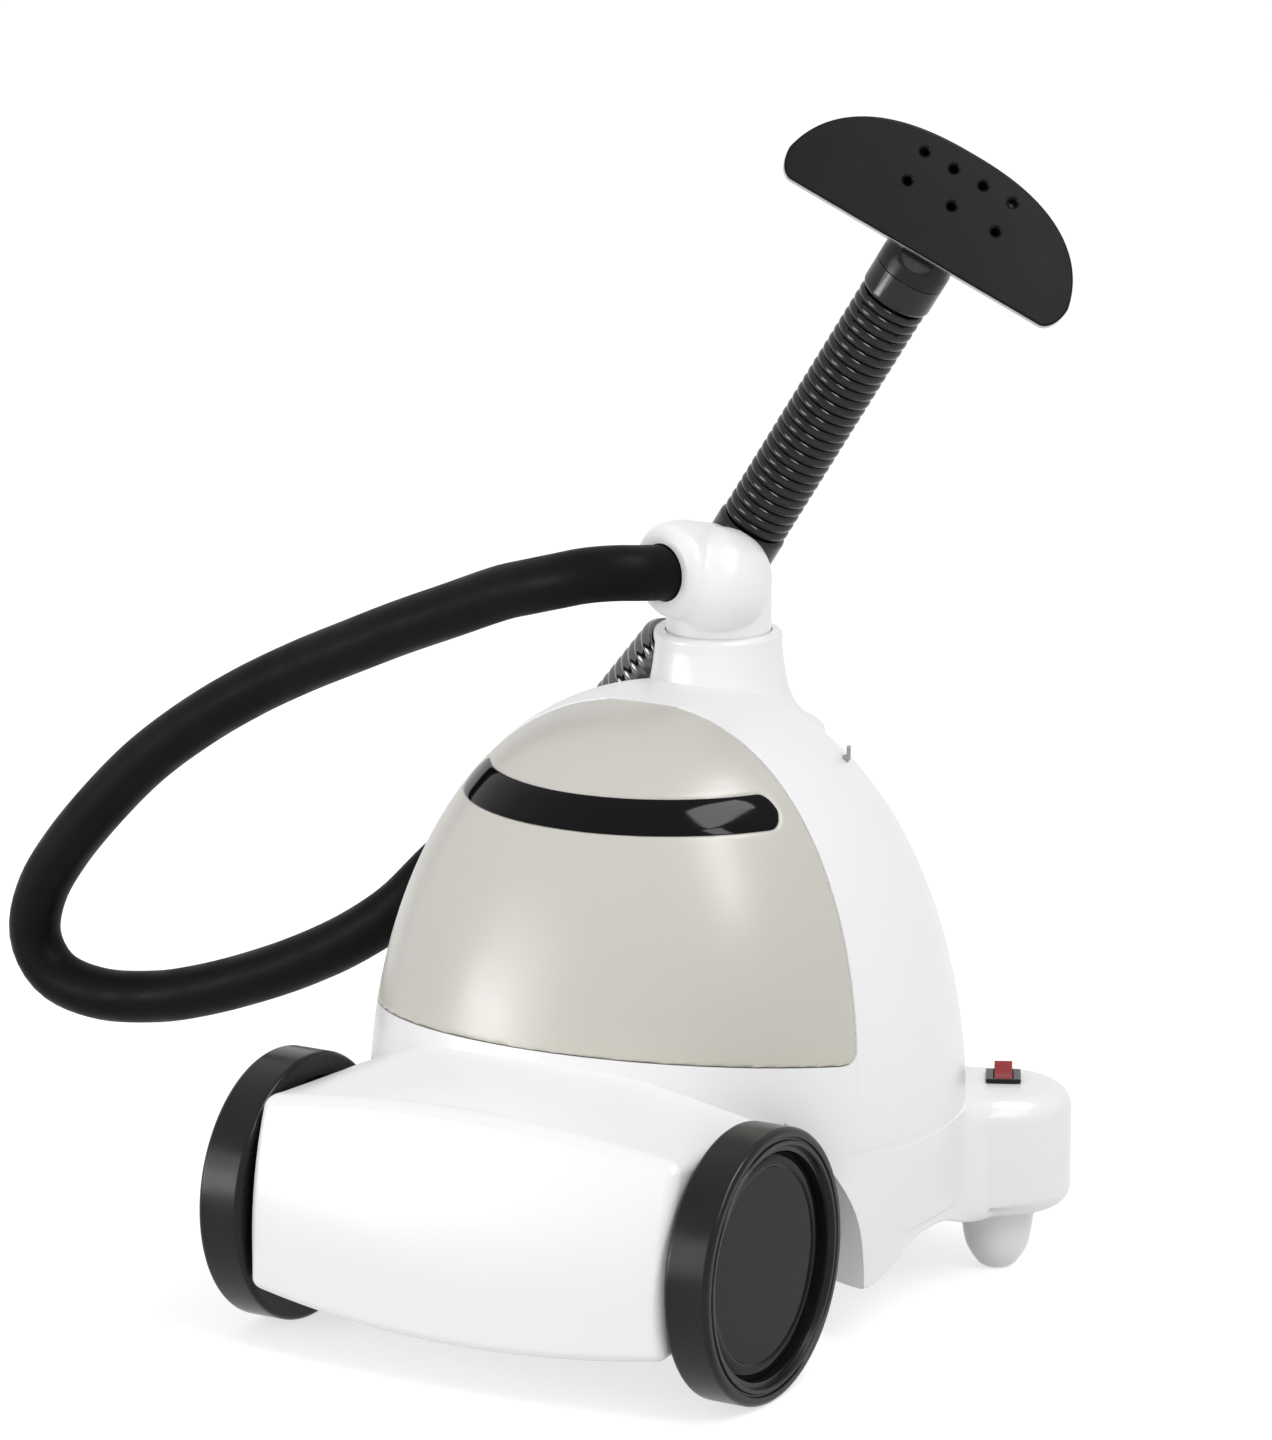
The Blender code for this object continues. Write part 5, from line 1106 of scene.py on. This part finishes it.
def hole_spots():
    return [(HOLE_SHIFT + pitch * (k - (count - 1) / 2), height)
            for count, pitch, height in HOLE_ROWS for k in range(count)]


def head(start):
    """Charcoal steam plate with its holes, and the pan and throat behind it."""
    normal = Vector(HEAD_NORMAL).normalized()
    along = Vector(HEAD_LONG)
    along = (along - normal * along.dot(normal)).normalized()
    end = HANDLE_START + WAND_AXIS * HEAD_FROM_ELBOW
    matrix = axes(end + normal * HEAD_REACH, normal, along) @ at(*HEAD_OFFSET, 0)
    plate = prism("head_plate", half_moon(), PLATE_THICKNESS, BLACK_SATIN)
    plate.matrix_local = matrix @ at(0, 0, -PLATE_THICKNESS)
    bevel(plate, PLATE_ROUND, 5, 50.0)
    bore = ((0, 0.01), (HOLE_RADIUS + 0.0014, 0.01), (HOLE_RADIUS + 0.0014, 0.0001),
            (HOLE_RADIUS + 0.0006, -0.0004), (HOLE_RADIUS, -0.0012), (HOLE_RADIUS, -0.02), (0, -0.02))
    for index, (x, y) in enumerate(hole_spots()):
        cut(plate, turned(f"steam_hole_{index}", bore, 28, matrix=matrix @ at(x, y, 0)))
    settle(plate, "wand", "head_plate", look=PLATE_LOOK)
    plate.data.materials.append(RIM_LOOK)
    for face in plate.data.polygons:
        if abs(face.normal.dot(normal)) < RIM_TILT:
            spot = matrix.inverted() @ TO_ROW.inverted() @ face.center
            on_edge = all(hypot(spot.x - x, spot.y - y) > RIM_CLEAR for x, y in hole_spots())
            face.material_index = 1 if on_edge else 0
    rear = matrix @ at(0, 0, -PLATE_THICKNESS - GAP)
    pan = ((0.30, 0.0175, PAN_DEPTH), (0.56, 0.0115, PAN_DEPTH * 0.92), (0.80, 0.0060, PAN_DEPTH * 0.66),
           (0.93, 0.0026, PAN_DEPTH * 0.3), (0.955, 0.0020, -0.002))
    waist = smooth_path([(HEAD_HALF_LENGTH * scale, shift, depth) for scale, shift, depth in pan], 0.0025)
    rings = [[rear @ Vector((x, y, -w.z)) for x, y in half_moon(w.x / HEAD_HALF_LENGTH, w.y)] for w in waist]
    body = loft("head_body", rings, BLACK_SATIN)
    throat = ((0, THROAT_LENGTH), (THROAT_RADIUS, THROAT_LENGTH), (COLLAR_RADIUS, 0.007), (COLLAR_RADIUS, 0),
              (0, 0))
    at_throat = axes(HANDLE_START + WAND_AXIS * start, WAND_AXIS, (0, 1, 0))
    join(body, turned("head_throat", throat, 64, matrix=at_throat))
    chamber = prism("steam_chamber", half_moon(0.62, 0.015), CHAMBER_DEPTH + 0.01)
    chamber.matrix_local = rear @ at(0, 0, -CHAMBER_DEPTH)
    space = prism("plate_space", ((-0.1, -0.04), (0.1, -0.04), (0.1, 0.08), (-0.1, 0.08)), 0.04)
    space.matrix_local = rear
    cut(body, chamber, space)
    settle(body, "wand", "head_body")


# ---------------------------------------------------------------- hose
def tube_rings(points, radius, sides):
    """Rings square to a path, turned as little as possible from one to the next."""
    rings = []
    across = None
    for k, point in enumerate(points):
        ahead = points[min(k + 1, len(points) - 1)] - points[max(k - 1, 0)]
        ahead.normalize()
        across = Vector((0, 0, 1)) if across is None else across
        across = (across - ahead * across.dot(ahead)).normalized()
        beside = ahead.cross(across)
        rings.append([point + radius * (across * cos(a) + beside * sin(a))
                      for a in (2 * pi * s / sides for s in range(sides))])
    return rings


def hose_path():
    boot_axis = Vector(BOOT_DIRECTION).normalized()
    mouth = PORT_START + PORT_AXIS * (PORT_LENGTH - PORT_BORE_DEPTH + GAP)
    lip = PORT_START + PORT_AXIS * PORT_LENGTH
    boot_end = Vector(BOOT_START) + boot_axis * (BOOT_LENGTH + GAP)
    return [mouth, *smooth_path([lip, *HOSE_ROUTE, boot_end + boot_axis * BOOT_LEAD], HOSE_STEP), boot_end]


def hose_run(name, rings, body):
    """One closed run of the hose."""
    run = settle(loft(name, rings, HOSE_BLACK), body, "hose", sharp=60)
    run.modifiers.clear()
    return run


def make_hose():
    """The hose, in two runs that meet end to end: the upper one from the wand's port, left on no body, the
    lower one stays in the boot. Gives the upper run and its line."""
    path = hose_path()
    line = [TO_ROW @ point for point in path]
    rings = tube_rings(path, HOSE_RADIUS, HOSE_SIDES)
    split = min(range(len(path)), key=lambda k: (path[k] - Vector(HOSE_SPLIT)).length)
    upper = hose_run("hose_upper", rings[:split + 1], None)
    hose_run("hose_lower", rings[split:], "base")
    return upper, line[:split + 1]


def make_boot():
    """Ribbed strain relief of the hose."""
    pitch = BOOT_LENGTH / VISIBLE_RIBS
    profile = [(0, BOOT_LENGTH)]
    for k in range(VISIBLE_RIBS):
        top = BOOT_LENGTH - k * pitch
        radius = BOOT_RADIUS + 0.0004 - 0.0022 * (top / BOOT_LENGTH)
        for step in range(BOOT_RIB_STEPS):
            bulge = sin(pi * (step + 0.3) / BOOT_RIB_STEPS) ** 0.7
            profile.append((radius - RIB_DEPTH + RIB_DEPTH * bulge, top - pitch * step / BOOT_RIB_STEPS))
    profile += [(BOOT_RADIUS - 0.002, 0), (0, 0)]
    boot = turned("hose_boot", profile, 64, BLACK_GLOSS, axes(BOOT_START, BOOT_DIRECTION, (0, 0, 1)))
    settle(boot, "base", "hose_boot", sharp=60, look=BOOT_LOOK)


# ---------------------------------------------------------------- floor and light
def choose_by_ray(tree, hidden, seen, output):
    """One look for rays that show the background, straight or by gloss or glass, another for the rest."""
    path = node(tree, "LightPath").outputs
    total = path["Is Camera Ray"]
    for kind in ("Is Glossy Ray", "Is Transmission Ray"):
        total = feed(tree, node(tree, "Math", operation='MAXIMUM'), {0: total, 1: path[kind]}).outputs[0]
    choose = feed(tree, node(tree, "MixShader"), {0: total, 1: hidden.outputs[0], 2: seen.outputs[0]})
    feed(tree, node(tree, output), {0: choose.outputs[0]})


def emptied(owner):
    """The owner's node tree, with nothing in it."""
    owner.use_nodes = True
    owner.node_tree.nodes.clear()
    return owner.node_tree


def make_floor():
    """White floor that shows only the object's soft shadow to the camera."""
    bpy.ops.mesh.primitive_plane_add(size=FLOOR_SIZE, location=(0, 0, -FLOOR_DROP))
    floor = bpy.context.object
    floor.name = "floor"
    mat = bpy.data.materials.new("white_floor")
    tree = emptied(mat)
    matte = node(tree, "BsdfDiffuse", Color=grey(FLOOR_WHITE))
    shadow = node(tree, "BsdfDiffuse", Color=grey(FLOOR_SHADE))
    glow = node(tree, "Emission", Color=grey(1), Strength=FLOOR_GLOW)
    both = feed(tree, node(tree, "AddShader"), {0: shadow.outputs[0], 1: glow.outputs[0]})
    choose_by_ray(tree, matte, both, "OutputMaterial")
    floor.data.materials.append(mat)


def make_world():
    """Plain white surroundings: soft light on the object, full white where they are seen."""
    world = bpy.data.worlds.new("studio")
    tree = emptied(world)
    soft = node(tree, "Background", Color=grey(1), Strength=WORLD_LIGHT)
    choose_by_ray(tree, soft, node(tree, "Background", Color=grey(1), Strength=1.0), "OutputWorld")
    bpy.context.scene.world = world


def area(name, place, aim, size, power, kind):
    """Rectangular lamp at a place, looking at a point; a card only shows in gloss."""
    lamp = bpy.data.lights.new(name, 'AREA')
    lamp.shape = 'RECTANGLE'
    lamp.size, lamp.size_y = size
    lamp.energy = power
    obj = bpy.data.objects.new(name, lamp)
    bpy.context.scene.collection.objects.link(obj)
    obj.visible_camera = False
    obj.visible_diffuse, obj.visible_glossy = kind
    obj.location = place
    obj.rotation_euler = (Vector(aim) - Vector(place)).to_track_quat('-Z', 'Y').to_euler()


def main():
    upper_hose, upper_line = make_hose()
    make_floor()
    make_world()
    for lamp in LAMPS:
        area(*lamp)
    settle(lower_housing(), "base", "lower_housing")
    rear_feet()
    settle(rear_shell(), "base", "rear_shell")
    settle(cord_hook(), "base", "cord_hook")
    for side, word in SIDES:
        wheel(side, word)
    tank()
    lip, rocker = switch()
    settle(lip, "base", "switch_bezel")
    settle(rocker, "rocker", "switch_rocker")
    settle(cord_gland(), "base", "cord_gland")
    settle(elbow(), "wand", "elbow", sharp=45)
    head(handle())
    make_boot()
    for helper in HELPERS:
        bpy.data.objects.remove(helper, do_unlink=True)
    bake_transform(upper_hose)
    bpy.context.view_layer.update()


bpy.context.scene.view_settings.view_transform = 'Standard'
main()
